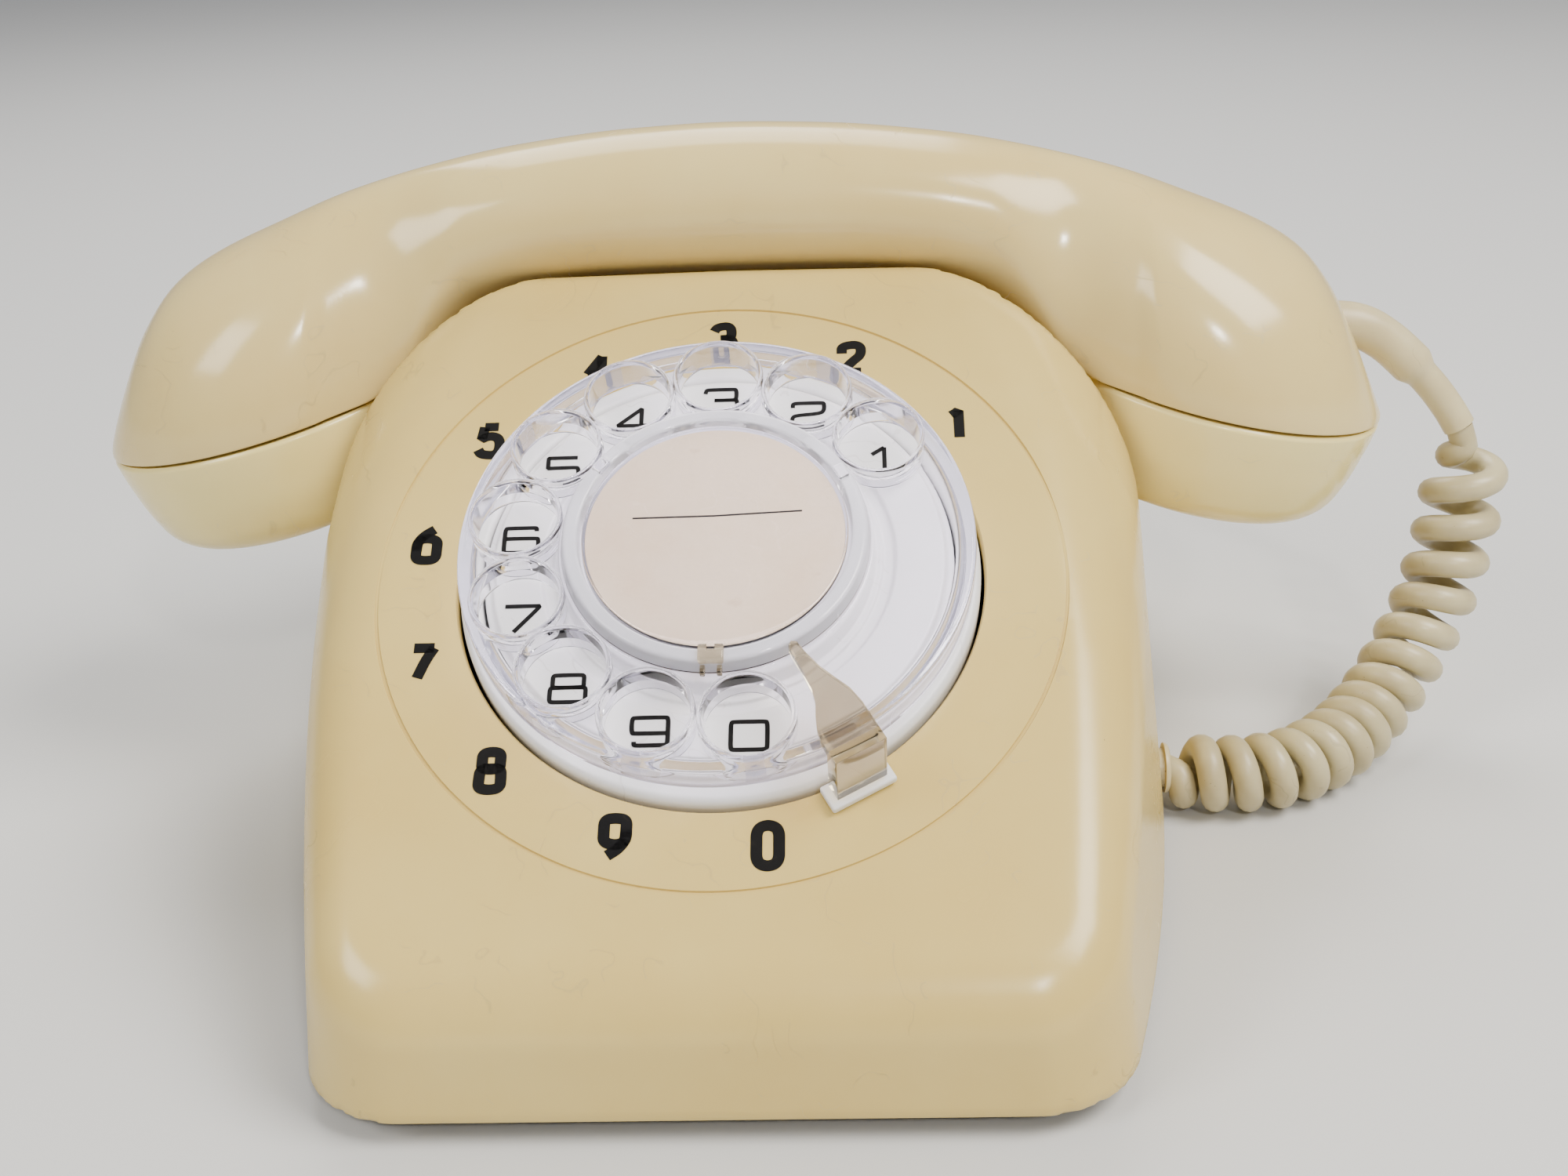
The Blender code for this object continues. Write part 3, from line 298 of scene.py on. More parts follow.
def noiseNode(tree, scale, detail=3.0, roughness=0.5):
    node = makeNode(tree, "ShaderNodeTexNoise")
    node.inputs["Scale"].default_value = scale
    node.inputs["Detail"].default_value = detail
    node.inputs["Roughness"].default_value = roughness
    return node


def rampNode(tree, stops):
    node = makeNode(tree, "ShaderNodeValToRGB")
    ramp = node.color_ramp
    while len(ramp.elements) < len(stops):
        ramp.elements.new(0.5)
    for element, (position, colour) in zip(ramp.elements, stops):
        element.position = position
        element.color = (colour, colour, colour, 1) if isinstance(colour, (int, float)) else (*colour, 1)
    return node


def mathNode(tree, operation, a, b=None):
    node = makeNode(tree, "ShaderNodeMath", operation=operation)
    for socket, value in zip(node.inputs, (a, b)):
        if value is None:
            continue
        if isinstance(value, (int, float)):
            socket.default_value = value
        else:
            tree.links.new(value, socket)
    return node.outputs[0]


def mixColour(tree, factor, a, b):
    node = makeNode(tree, "ShaderNodeMix", data_type="RGBA")
    for socket, value in ((node.inputs[0], factor), (node.inputs[6], a), (node.inputs[7], b)):
        if isinstance(value, (int, float)):
            socket.default_value = value
        elif isinstance(value, tuple):
            socket.default_value = (*value, 1)
        else:
            tree.links.new(value, socket)
    return node.outputs[2]


def buildGrimeGroup():
    # dust specks, faint blotches and hairline scratches, as masks from 0 to 1
    group = bpy.data.node_groups.new("agedPlastic", "ShaderNodeTree")
    groupSocket(group, "Speck Size", "NodeSocketFloat", "INPUT", 900.0)
    groupSocket(group, "Speck Share", "NodeSocketFloat", "INPUT", 0.5)
    groupSocket(group, "Blotch Size", "NodeSocketFloat", "INPUT", 26.0)
    for name in ("Specks", "Blotches", "Scratches"):
        groupSocket(group, name, "NodeSocketFloat", "OUTPUT")
    source = makeNode(group, "NodeGroupInput")
    sink = makeNode(group, "NodeGroupOutput")
    coord = makeNode(group, "ShaderNodeTexCoord").outputs["Object"]
    cells = makeNode(group, "ShaderNodeTexVoronoi", feature="F1")
    group.links.new(coord, cells.inputs["Vector"])
    group.links.new(source.outputs["Speck Size"], cells.inputs["Scale"])
    near = mathNode(group, "LESS_THAN", cells.outputs["Distance"], 0.13)
    rare = noiseNode(group, 310.0, 2.0)
    group.links.new(coord, rare.inputs["Vector"])
    limit = mathNode(group, "SUBTRACT", 0.86, mathNode(group, "MULTIPLY", source.outputs["Speck Share"], 0.2))
    chosen = mathNode(group, "GREATER_THAN", rare.outputs["Fac"], limit)
    group.links.new(mathNode(group, "MULTIPLY", near, chosen), sink.inputs["Specks"])
    blotch = noiseNode(group, 26.0, 4.0, 0.6)
    group.links.new(coord, blotch.inputs["Vector"])
    group.links.new(source.outputs["Blotch Size"], blotch.inputs["Scale"])
    ramp = rampNode(group, [(0.35, 0.0), (0.75, 1.0)])
    group.links.new(blotch.outputs["Fac"], ramp.inputs["Fac"])
    group.links.new(ramp.outputs["Color"], sink.inputs["Blotches"])
    wave = makeNode(group, "ShaderNodeTexWave", wave_type="BANDS", bands_direction="DIAGONAL")
    wave.inputs["Scale"].default_value = 38.0
    wave.inputs["Distortion"].default_value = 26.0
    wave.inputs["Detail"].default_value = 3.0
    wave.inputs["Detail Scale"].default_value = 1.4
    group.links.new(coord, wave.inputs["Vector"])
    thin = rampNode(group, [(0.985, 0.0), (1.0, 1.0)])
    group.links.new(wave.outputs["Fac"], thin.inputs["Fac"])
    broken = noiseNode(group, 90.0, 2.0)
    group.links.new(coord, broken.inputs["Vector"])
    gate = mathNode(group, "GREATER_THAN", broken.outputs["Fac"], 0.58)
    group.links.new(mathNode(group, "MULTIPLY", thin.outputs["Color"], gate), sink.inputs["Scratches"])
    return group


def buildGrainGroup():
    # fine moulded grain and a slow waviness of the surface, as bump heights
    group = bpy.data.node_groups.new("mouldedGrain", "ShaderNodeTree")
    groupSocket(group, "Grain Size", "NodeSocketFloat", "INPUT", 1500.0)
    groupSocket(group, "Wave Size", "NodeSocketFloat", "INPUT", 14.0)
    groupSocket(group, "Grain Share", "NodeSocketFloat", "INPUT", 0.2)
    groupSocket(group, "Height", "NodeSocketFloat", "OUTPUT")
    source = makeNode(group, "NodeGroupInput")
    sink = makeNode(group, "NodeGroupOutput")
    coord = makeNode(group, "ShaderNodeTexCoord").outputs["Object"]
    grain, wave = noiseNode(group, 1500.0, 2.0), noiseNode(group, 14.0, 1.0)
    for node, name in ((grain, "Grain Size"), (wave, "Wave Size")):
        group.links.new(coord, node.inputs["Vector"])
        group.links.new(source.outputs[name], node.inputs["Scale"])
    fine = mathNode(group, "MULTIPLY", grain.outputs["Fac"], source.outputs["Grain Share"])
    group.links.new(mathNode(group, "ADD", fine, wave.outputs["Fac"]), sink.inputs["Height"])
    return group


grimeGroup = buildGrimeGroup()
grainGroup = buildGrainGroup()


def startMaterial(name):
    mat = bpy.data.materials.new(name)
    mat.use_nodes = True
    tree = mat.node_tree
    return mat, tree, tree.nodes["Principled BSDF"]


def useGroup(tree, group, **values):
    node = makeNode(tree, "ShaderNodeGroup", node_tree=group)
    for key, value in values.items():
        node.inputs[key.replace("_", " ")].default_value = value
    return node


def bump(tree, shader, height, strength, distance):
    node = makeNode(tree, "ShaderNodeBump")
    node.inputs["Strength"].default_value = strength
    node.inputs["Distance"].default_value = distance
    tree.links.new(height, node.inputs["Height"])
    tree.links.new(node.outputs["Normal"], shader.inputs["Normal"])


def plasticMaterial(name, look):
    mat, tree, shader = startMaterial(name)
    grime = useGroup(tree, grimeGroup, Speck_Size=1100.0, Speck_Share=look.get("share", 0.5),
                     Blotch_Size=look.get("blotch", 22.0))
    colour = mixColour(tree, grime.outputs["Blotches"], look["colour"], look["worn"])
    scratchMask = mathNode(tree, "MULTIPLY", grime.outputs["Scratches"], 0.16)
    scratchColour = mixColour(tree, scratchMask, colour, look["dirt"])
    speckMask = mathNode(tree, "MULTIPLY", grime.outputs["Specks"], look.get("dark", 0.7))
    speckColour = mixColour(tree, speckMask, scratchColour, look["dirt"])
    tree.links.new(speckColour, shader.inputs["Base Color"])
    rough = mathNode(tree, "MULTIPLY_ADD", grime.outputs["Blotches"], look.get("roughSpread", 0.1))
    rough.node.inputs[2].default_value = look["rough"]
    tree.links.new(mathNode(tree, "ADD", rough, mathNode(tree, "MULTIPLY", grime.outputs["Scratches"], 0.18)),
                   shader.inputs["Roughness"])
    shader.inputs["IOR"].default_value = 1.52
    shader.inputs["Specular IOR Level"].default_value = look.get("specular", 0.5)
    shader.inputs["Subsurface Weight"].default_value = look.get("glow", 0.0)
    shader.inputs["Subsurface Radius"].default_value = (0.004, 0.003, 0.0015)
    shader.inputs["Subsurface Scale"].default_value = 0.4
    grain = useGroup(tree, grainGroup, Grain_Size=look.get("grain", 1400.0),
                     Grain_Share=look.get("grainShare", 0.12))
    bump(tree, shader, grain.outputs["Height"], look.get("bump", 0.12), 0.4 * mm)
    return mat


def metalMaterial(name, colour, rough, stretch=(1, 1, 1), grain=900.0):
    mat, tree, shader = startMaterial(name)
    coord = makeNode(tree, "ShaderNodeTexCoord").outputs["Object"]
    mapping = makeNode(tree, "ShaderNodeMapping")
    mapping.inputs["Scale"].default_value = stretch
    tree.links.new(coord, mapping.inputs["Vector"])
    fine, slow = noiseNode(tree, grain, 3.0), noiseNode(tree, 60.0, 3.0)
    tree.links.new(mapping.outputs["Vector"], fine.inputs["Vector"])
    tree.links.new(coord, slow.inputs["Vector"])
    dull = tuple(c * 0.72 for c in colour)
    tree.links.new(mixColour(tree, slow.outputs["Fac"], colour, dull), shader.inputs["Base Color"])
    spread = mathNode(tree, "MULTIPLY_ADD", fine.outputs["Fac"], 0.22)
    spread.node.inputs[2].default_value = rough - 0.08
    tree.links.new(spread, shader.inputs["Roughness"])
    shader.inputs["Metallic"].default_value = 1.0
    bump(tree, shader, fine.outputs["Fac"], 0.08, 0.2 * mm)
    return mat


def acrylicMaterial(name, look):
    mat, tree, shader = startMaterial(name)
    grime = useGroup(tree, grimeGroup, Speck_Size=800.0, Speck_Share=look.get("share", 0.4), Blotch_Size=60.0)
    blotchMask = mathNode(tree, "MULTIPLY", grime.outputs["Blotches"], 0.6)
    colour = mixColour(tree, blotchMask, look["colour"], look["worn"])
    speckled = mixColour(tree, mathNode(tree, "MULTIPLY", grime.outputs["Specks"], 0.4), colour, look["dirt"])
    tree.links.new(speckled, shader.inputs["Base Color"])
    rough = mathNode(tree, "MULTIPLY_ADD", grime.outputs["Scratches"], 0.25)
    rough.node.inputs[2].default_value = look["rough"]
    tree.links.new(rough, shader.inputs["Roughness"])
    shader.inputs["Transmission Weight"].default_value = look.get("clear", 1.0)
    shader.inputs["IOR"].default_value = 1.49
    grain = useGroup(tree, grainGroup, Grain_Size=900.0, Wave_Size=70.0, Grain_Share=0.1)
    bump(tree, shader, grain.outputs["Height"], 0.02, 0.1 * mm)
    # lamps reach what lies under the clear plastic
    path = makeNode(tree, "ShaderNodeLightPath")
    letThrough = makeNode(tree, "ShaderNodeBsdfTransparent")
    letThrough.inputs["Color"].default_value = (*look["shade"], 1)
    mix = makeNode(tree, "ShaderNodeMixShader")
    tree.links.new(path.outputs["Is Shadow Ray"], mix.inputs[0])
    tree.links.new(shader.outputs["BSDF"], mix.inputs[1])
    tree.links.new(letThrough.outputs["BSDF"], mix.inputs[2])
    tree.links.new(mix.outputs["Shader"], tree.nodes["Material Output"].inputs["Surface"])
    return mat


def paperMaterial(name, colour, stain):
    mat, tree, shader = startMaterial(name)
    coord = makeNode(tree, "ShaderNodeTexCoord").outputs["Object"]
    fibre = noiseNode(tree, 1400.0, 4.0)
    slow = noiseNode(tree, 70.0, 4.0, 0.65)
    edge = noiseNode(tree, 260.0, 3.0)
    for node in (fibre, slow, edge):
        tree.links.new(coord, node.inputs["Vector"])
    ramp = rampNode(tree, [(0.46, 0.0), (0.85, 1.0)])
    tree.links.new(slow.outputs["Fac"], ramp.inputs["Fac"])
    blot = rampNode(tree, [(0.70, 0.0), (0.80, 0.8)])
    tree.links.new(edge.outputs["Fac"], blot.inputs["Fac"])
    base = mixColour(tree, fibre.outputs["Fac"], colour, tuple(c * 0.9 for c in colour))
    tinted = mixColour(tree, mathNode(tree, "MULTIPLY", ramp.outputs["Color"], 0.6), base, stain)
    spotMask = mathNode(tree, "MULTIPLY", blot.outputs["Color"], 0.35)
    spotted = mixColour(tree, spotMask, tinted, (0.32, 0.2, 0.1))
    tree.links.new(spotted, shader.inputs["Base Color"])
    shader.inputs["Roughness"].default_value = 0.72
    bump(tree, shader, fibre.outputs["Fac"], 0.25, 0.1 * mm)
    return mat


def windingMaterial(name, colour):
    mat, tree, shader = startMaterial(name)
    coord = makeNode(tree, "ShaderNodeTexCoord").outputs["Object"]
    wire = makeNode(tree, "ShaderNodeTexWave", wave_type="BANDS", bands_direction="Y")
    wire.inputs["Scale"].default_value = 900.0
    wire.inputs["Distortion"].default_value = 0.4
    slow = noiseNode(tree, 120.0, 3.0)
    tree.links.new(coord, wire.inputs["Vector"])
    tree.links.new(coord, slow.inputs["Vector"])
    tree.links.new(mixColour(tree, slow.outputs["Fac"], colour, tuple(c * 0.5 for c in colour)),
                   shader.inputs["Base Color"])
    shader.inputs["Roughness"].default_value = 0.35
    shader.inputs["Metallic"].default_value = 0.6
    bump(tree, shader, wire.outputs["Fac"], 0.5, 0.2 * mm)
    return mat


plasticLooks = {
    "caseIvory": {"colour": (0.670, 0.505, 0.165), "worn": (0.620, 0.445, 0.125), "dirt": (0.10, 0.07, 0.04),
                  "rough": 0.20, "glow": 0.06, "share": 0.42},
    "handsetIvory": {"colour": (0.710, 0.555, 0.230), "worn": (0.660, 0.490, 0.175),
                     "dirt": (0.10, 0.07, 0.04),
                     "rough": 0.14, "glow": 0.06, "share": 0.36},
    # painted light: the caps' ivory and its worn tone are brighter than the handset's, for the strong light
    # the caps catch
    "capIvory": {"colour": (0.860, 0.715, 0.290), "worn": (0.820, 0.660, 0.225), "dirt": (0.12, 0.08, 0.04),
                 "rough": 0.15, "glow": 0.06, "share": 0.3},
    "dialWhite": {"colour": (0.800, 0.795, 0.790), "worn": (0.700, 0.690, 0.680), "dirt": (0.16, 0.11, 0.07),
                  "rough": 0.32, "share": 0.6},
    "digitBlack": {"colour": (0.003, 0.003, 0.003), "worn": (0.008, 0.007, 0.006), "dirt": (0.05, 0.04, 0.03),
                   "rough": 0.55, "dark": 0.2, "bump": 0.0, "specular": 0.12},
    "baseBlack": {"colour": (0.016, 0.016, 0.017), "worn": (0.040, 0.038, 0.036), "dirt": (0.14, 0.12, 0.09),
                  "rough": 0.42, "grain": 700.0, "grainShare": 0.6, "bump": 0.3},
    "footRubber": {"colour": (0.014, 0.014, 0.014), "worn": (0.035, 0.033, 0.030), "dirt": (0.16, 0.14, 0.11),
                   "rough": 0.72, "grain": 900.0, "grainShare": 0.8, "bump": 0.35},
    "cordVinyl": {"colour": (0.560, 0.490, 0.285), "worn": (0.380, 0.305, 0.160),
                  "dirt": (0.09, 0.065, 0.035),
                  "rough": 0.30, "blotch": 55.0, "share": 0.9, "roughSpread": 0.18, "glow": 0.05},
    "bootVinyl": {"colour": (0.660, 0.570, 0.330), "worn": (0.520, 0.420, 0.220), "dirt": (0.10, 0.07, 0.04),
                  "rough": 0.28, "blotch": 60.0, "share": 0.8, "roughSpread": 0.15, "glow": 0.05},
    "brownResin": {"colour": (0.180, 0.085, 0.040), "worn": (0.120, 0.055, 0.028), "dirt": (0.05, 0.03, 0.02),
                   "rough": 0.38, "blotch": 90.0, "grainShare": 0.5},
}
looks = {name: plasticMaterial(name, look) for name, look in plasticLooks.items()}
looks["clearAcrylic"] = acrylicMaterial("clearAcrylic", {
    "colour": (0.930, 0.920, 0.975), "worn": (0.880, 0.865, 0.930), "dirt": (0.35, 0.30, 0.25), "rough": 0.02,
    "shade": (0.86, 0.85, 0.90)})
looks["hubAcrylic"] = acrylicMaterial("hubAcrylic", {
    "colour": (0.800, 0.790, 0.870), "worn": (0.740, 0.725, 0.790), "dirt": (0.30, 0.25, 0.20), "rough": 0.06,
    "shade": (0.80, 0.79, 0.85), "clear": 0.35})
# the skirt's acrylic is darker and less clear than the wheel's: painted shade for the shadows on its inner
# wall, over the plastic's own lavender tint
looks["skirtAcrylic"] = acrylicMaterial("skirtAcrylic", {
    "colour": (0.700, 0.690, 0.830), "worn": (0.640, 0.625, 0.740), "dirt": (0.30, 0.25, 0.20), "rough": 0.04,
    "shade": (0.84, 0.83, 0.90), "clear": 0.75})
looks["tubeAcrylic"] = acrylicMaterial("tubeAcrylic", {
    "colour": (0.780, 0.770, 0.860), "worn": (0.720, 0.705, 0.780), "dirt": (0.30, 0.25, 0.20), "rough": 0.03,
    "shade": (0.80, 0.79, 0.86), "clear": 0.85})
looks["smokedAcrylic"] = acrylicMaterial("smokedAcrylic", {
    "colour": (0.500, 0.430, 0.285), "worn": (0.360, 0.290, 0.170), "dirt": (0.12, 0.09, 0.05), "rough": 0.05,
    "share": 0.9, "shade": (0.66, 0.60, 0.50)})
looks["labelCard"] = paperMaterial("labelCard", (0.640, 0.515, 0.360), (0.520, 0.370, 0.210))
looks["plateSteel"] = metalMaterial("plateSteel", (0.62, 0.62, 0.63), 0.34, (1, 14, 1))
looks["turnedBrass"] = metalMaterial("turnedBrass", (0.72, 0.53, 0.24), 0.30)
looks["pressedAluminium"] = metalMaterial("pressedAluminium", (0.78, 0.78, 0.79), 0.36)
looks["gongBronze"] = metalMaterial("gongBronze", (0.66, 0.46, 0.25), 0.26, (1, 1, 20), 500.0)
looks["woundCopper"] = windingMaterial("woundCopper", (0.52, 0.20, 0.07))
print("materials built")


cameraLook = {"place": (0.0226, -0.3205, 0.1794), "turn": (66.573, 2.183, 1.688), "lens": 44.58}
lightLook = {
    "key": {"place": (0.62, -0.30, 0.95), "size": 0.55, "power": 17.0, "colour": (1.0, 0.96, 0.90)},
    "window": {"place": (-0.75, -0.60, 0.85), "size": 0.45, "power": 7.0, "colour": (1.0, 0.98, 0.95)},
    "spot": {"place": (0.30, -0.95, 0.75), "size": 0.08, "power": 4.0, "colour": (1.0, 0.98, 0.94)},
    "rear": {"place": (-0.10, 0.70, 0.90), "size": 0.70, "power": 9.0, "colour": (1.0, 0.98, 0.95)},
}


def buildStage():
    camera = bpy.data.cameras.new("camera")
    camera.lens = cameraLook["lens"]
    camera.sensor_width = 36.0
    camera.clip_start = 0.01
    eye = bpy.data.objects.new("camera", camera)
    eye.location = cameraLook["place"]
    eye.rotation_euler = [math.radians(a) for a in cameraLook["turn"]]
    bpy.context.scene.collection.objects.link(eye)
    bpy.context.scene.camera = eye
    for name, look in lightLook.items():
        lamp = bpy.data.lights.new(name, "AREA")
        lamp.size = look["size"]
        lamp.energy = look["power"]
        lamp.color = look["colour"]
        obj = bpy.data.objects.new(name, lamp)
        obj.location = look["place"]
        aim = Vector((0, 0, 0.05)) - Vector(look["place"])
        obj.rotation_euler = aim.to_track_quat("-Z", "Y").to_euler()
        bpy.context.scene.collection.objects.link(obj)
    world = bpy.data.worlds.new("studio")
    world.use_nodes = True
    world.node_tree.nodes["Background"].inputs["Color"].default_value = (0.93, 0.95, 1.0, 1)
    world.node_tree.nodes["Background"].inputs["Strength"].default_value = 0.38
    bpy.context.scene.world = world
    mat, tree, shader = startMaterial("paleFloor")
    shader.inputs["Base Color"].default_value = (0.62, 0.62, 0.61, 1)
    shader.inputs["Roughness"].default_value = 0.6
    floor = meshObject("floor", [(-3, -3, 0), (3, -3, 0), (3, 3, 0), (-3, 3, 0)], [(0, 1, 2, 3)], mat)


buildStage()
print("stage built")


# the curly cord leaves the case at the gland and ends in the handset's boot; its routes are in metres
cordLook = {"wire": 5.0 * mm, "lowCoil": 4.4 * mm, "highCoil": 5.6 * mm, "lowPitch": 5.6 * mm,
            "highPitch": 8.4 * mm, "opensAt": 0.35, "step": 0.25 * mm, "fadeIn": 8, "fadeOut": 16,
            "gland": (75.6 * mm, -11.5 * mm, 8.6 * mm)}
cordRoute = [(0.0780, -0.0115, 0.0078), (0.0870, -0.0120, 0.0074), (0.0950, -0.0108, 0.0073),
             (0.1013, -0.0075, 0.0073), (0.1085, -0.0015, 0.0078), (0.1150, 0.0055, 0.0096),
             (0.1200, 0.0105, 0.0130), (0.1250, 0.0155, 0.0185), (0.1300, 0.0200, 0.0265),
             (0.1328, 0.0230, 0.0340), (0.1345, 0.0250, 0.0410), (0.1354, 0.0266, 0.0475),
             (0.1352, 0.0276, 0.0545)]
bootRoute = [(0.1050, 0.0300, 0.0782), (0.1135, 0.0300, 0.0777), (0.1190, 0.0300, 0.0750),
             (0.1240, 0.0295, 0.0707), (0.1285, 0.0290, 0.0660), (0.1318, 0.0285, 0.0617),
             (0.1340, 0.0280, 0.0582)]


def cordPath():
    # a helix round the route, closed up near the gland and opening towards the handset
    middle = smoothPath(cordRoute, cordLook["step"])
    count = len(middle)
    side = Vector((0.0, 0.0, 1.0))
    turn = math.pi * 0.5
    points = []
    wider, longer = cordLook["highCoil"] - cordLook["lowCoil"], cordLook["highPitch"] - cordLook["lowPitch"]
    for k, place in enumerate(middle):
        ahead = (middle[min(k + 1, count - 1)] - middle[max(k - 1, 0)]).normalized()
        side = (side - ahead * side.dot(ahead)).normalized()
        across = ahead.cross(side)
        share = k / (count - 1)
        opened = max(0.0, share - cordLook["opensAt"]) / (1 - cordLook["opensAt"])
        pitch = cordLook["lowPitch"] + longer * opened
        ends = min(1.0, (k + 3) / cordLook["fadeIn"], (count - 1 - k) / cordLook["fadeOut"])
        ends = ends * ends * (3 - 2 * ends)
        reach = (cordLook["lowCoil"] + wider * share) * ends
        points.append(place + (side * math.cos(turn) + across * math.sin(turn)) * reach)
        turn += 2 * math.pi * cordLook["step"] / pitch
    start = Vector(cordLook["gland"])
    tail = Vector(bootRoute[-1])
    points = [start, (start + points[0]) / 2] + points + [(points[-1] + tail) / 2, tail]
    return smoothPath(points[::2] + [points[-1]], 0.9 * mm)


def buildCord():
    path = cordPath()
    length = sum((b - a).length for a, b in zip(path, path[1:]))
    radius = cordLook["wire"] / 2
    cord = tubeAlong("handsetCordCoil", path, [radius] * len(path), 14, looks["cordVinyl"])
    # the boot tapers a little, steps down near its end and grips the wire
    boot = smoothPath(bootRoute, 0.8 * mm)
    radii = []
    for k in range(len(boot)):
        share = k / (len(boot) - 1)
        if share < 0.60:
            radii.append((4.35 - 0.9 * share + 0.9 * max(0.0, share - 0.40)) * mm)
        elif share < 0.66:
            radii.append((4.0 - (share - 0.60) / 0.06 * 1.0) * mm)
        else:
            radii.append(2.95 * mm)
    sleeve = tubeAlong("handsetCordBoot", boot, radii, 28, looks["bootVinyl"])
    return cord, path, length, sleeve


cordPiece, cordPoints, cordLength, bootPiece = buildCord()
print("cord built, %.3f m" % cordLength)


# sizes of the case in mm; the rounds change along its depth, from front to rear
caseSize = {"halfDepth": 102.5, "frontHalf": 57.0, "rearHalf": 78.0, "bottom": 4.0, "draft": 0.108,
            "frontCorner": 12.0, "wall": 2.6, "crestStart": 5.0, "crestEnd": 14.5, "humpStart": 50.0,
            "rearEdge": 12.0, "cell": 1.25, "cavityCell": 2.3,
            "roundAt": (-102.5, -97.0, -90.0, -55.0, -20.0, 0.0, 10.0, 50.0, 82.0, 102.5),
            "rounds": (5.5, 6.0, 7.5, 11.0, 18.0, 27.0, 33.0, 30.0, 22.0, 16.0)}
wellSize = {"x": 86.7, "radius": 31.8, "round": 3.0,
            "floorX": (57.0, 87.2, 120.0), "floorZ": (54.2, 47.2, 39.6)}
channelSize = {"at": (0.0, 30.0, 36.0, 42.0, 52.0, 60.0, 68.0),
               "half": (11.6, 12.0, 13.0, 15.0, 18.6, 22.1, 25.6),
               "floor": (84.0, 84.0, 83.7, 83.0, 77.6, 71.0, 67.0), "round": 3.5}
grooveSize = {"radius": 53.7, "width": 0.42, "depth": 0.35}
openingSize = {"dial": 41.0, "dialLip": 41.45, "plungerX": 30.0, "plunger": 3.3, "plungerLip": 3.9,
               "cord": 3.9,
               "inlet": (-25.0, 102.5, 12.0)}


def caseRoof(y):
    slope = math.tan(dialPlace["slope"])
    face = dialPlace["z"] / mm + (y - dialPlace["y"] / mm) * slope
    start, end = caseSize["crestStart"], caseSize["crestEnd"]
    run = np.clip(y - start, 0, end - start)
    atStart = dialPlace["z"] / mm + (start - dialPlace["y"] / mm) * slope
    return np.where(y < start, face, atStart + slope * (run - run * run / (2 * (end - start))))


def caseBody(x, y, z):
    x, y, z = np.abs(x) / mm, y / mm, z / mm
    part = np.clip((caseSize["humpStart"] - y) / (caseSize["humpStart"] + caseSize["halfDepth"]), 0, 1)
    half = caseSize["rearHalf"] - (caseSize["rearHalf"] - caseSize["frontHalf"]) * part ** 2.2
    side = (x - half + caseSize["draft"] * (z - caseSize["bottom"])) * 0.994
    front = -(y + caseSize["halfDepth"]) + 0.03 * (z - caseSize["bottom"])
    roof = caseRoof(np.minimum(y, caseSize["humpStart"]))
    blend = np.clip((y - caseSize["crestStart"]) / (caseSize["crestEnd"] - caseSize["crestStart"]), 0, 1)
    tilt = math.cos(dialPlace["slope"]) + (1 - math.cos(dialPlace["slope"])) * blend
    top = (z - roof) * tilt
    run = np.maximum(y - caseSize["humpStart"], 0)
    rise = np.maximum(z - caseSize["rearEdge"], 0)
    long = caseSize["halfDepth"] - caseSize["humpStart"]
    tall = float(caseRoof(np.array(50.0))) - caseSize["rearEdge"]
    size = np.sqrt((run / long) ** 2 + (rise / tall) ** 2)
    pull = np.sqrt((run / long ** 2) ** 2 + (rise / tall ** 2) ** 2)
    dome = (size - 1) * size / np.maximum(pull, 1e-6)
    rear = np.where(z > caseSize["rearEdge"], dome, y - caseSize["halfDepth"])
    behind = np.where(y > caseSize["humpStart"], rear, top)
    radius = np.interp(y, caseSize["roundAt"], caseSize["rounds"])
    body = roundMax(roundMax(side, front, caseSize["frontCorner"]), behind, radius)
    away = np.hypot(x - wellSize["x"], y - handsetY / mm) - wellSize["radius"]
    bottom = np.interp(x, wellSize["floorX"], wellSize["floorZ"]) - z
    well = roundMax(away, bottom, wellSize["round"])
    across = np.abs(y - handsetY / mm) - np.interp(x, channelSize["at"], channelSize["half"])
    floor = np.interp(x, channelSize["at"], channelSize["floor"]) - z
    channel = roundMax(roundMax(across, floor, channelSize["round"]), x - 70, 1.0)
    room = roundMin(well, channel, 2.0)
    return roundMax(body, -room, 1.1)


def caseField(x, y, z):
    return roundMax(caseBody(x, y, z), caseSize["bottom"] - z / mm, 0.8) * mm


def cavityField(x, y, z):
    return np.maximum(caseBody(x, y, z) + caseSize["wall"], 1.0 - z / mm) * mm


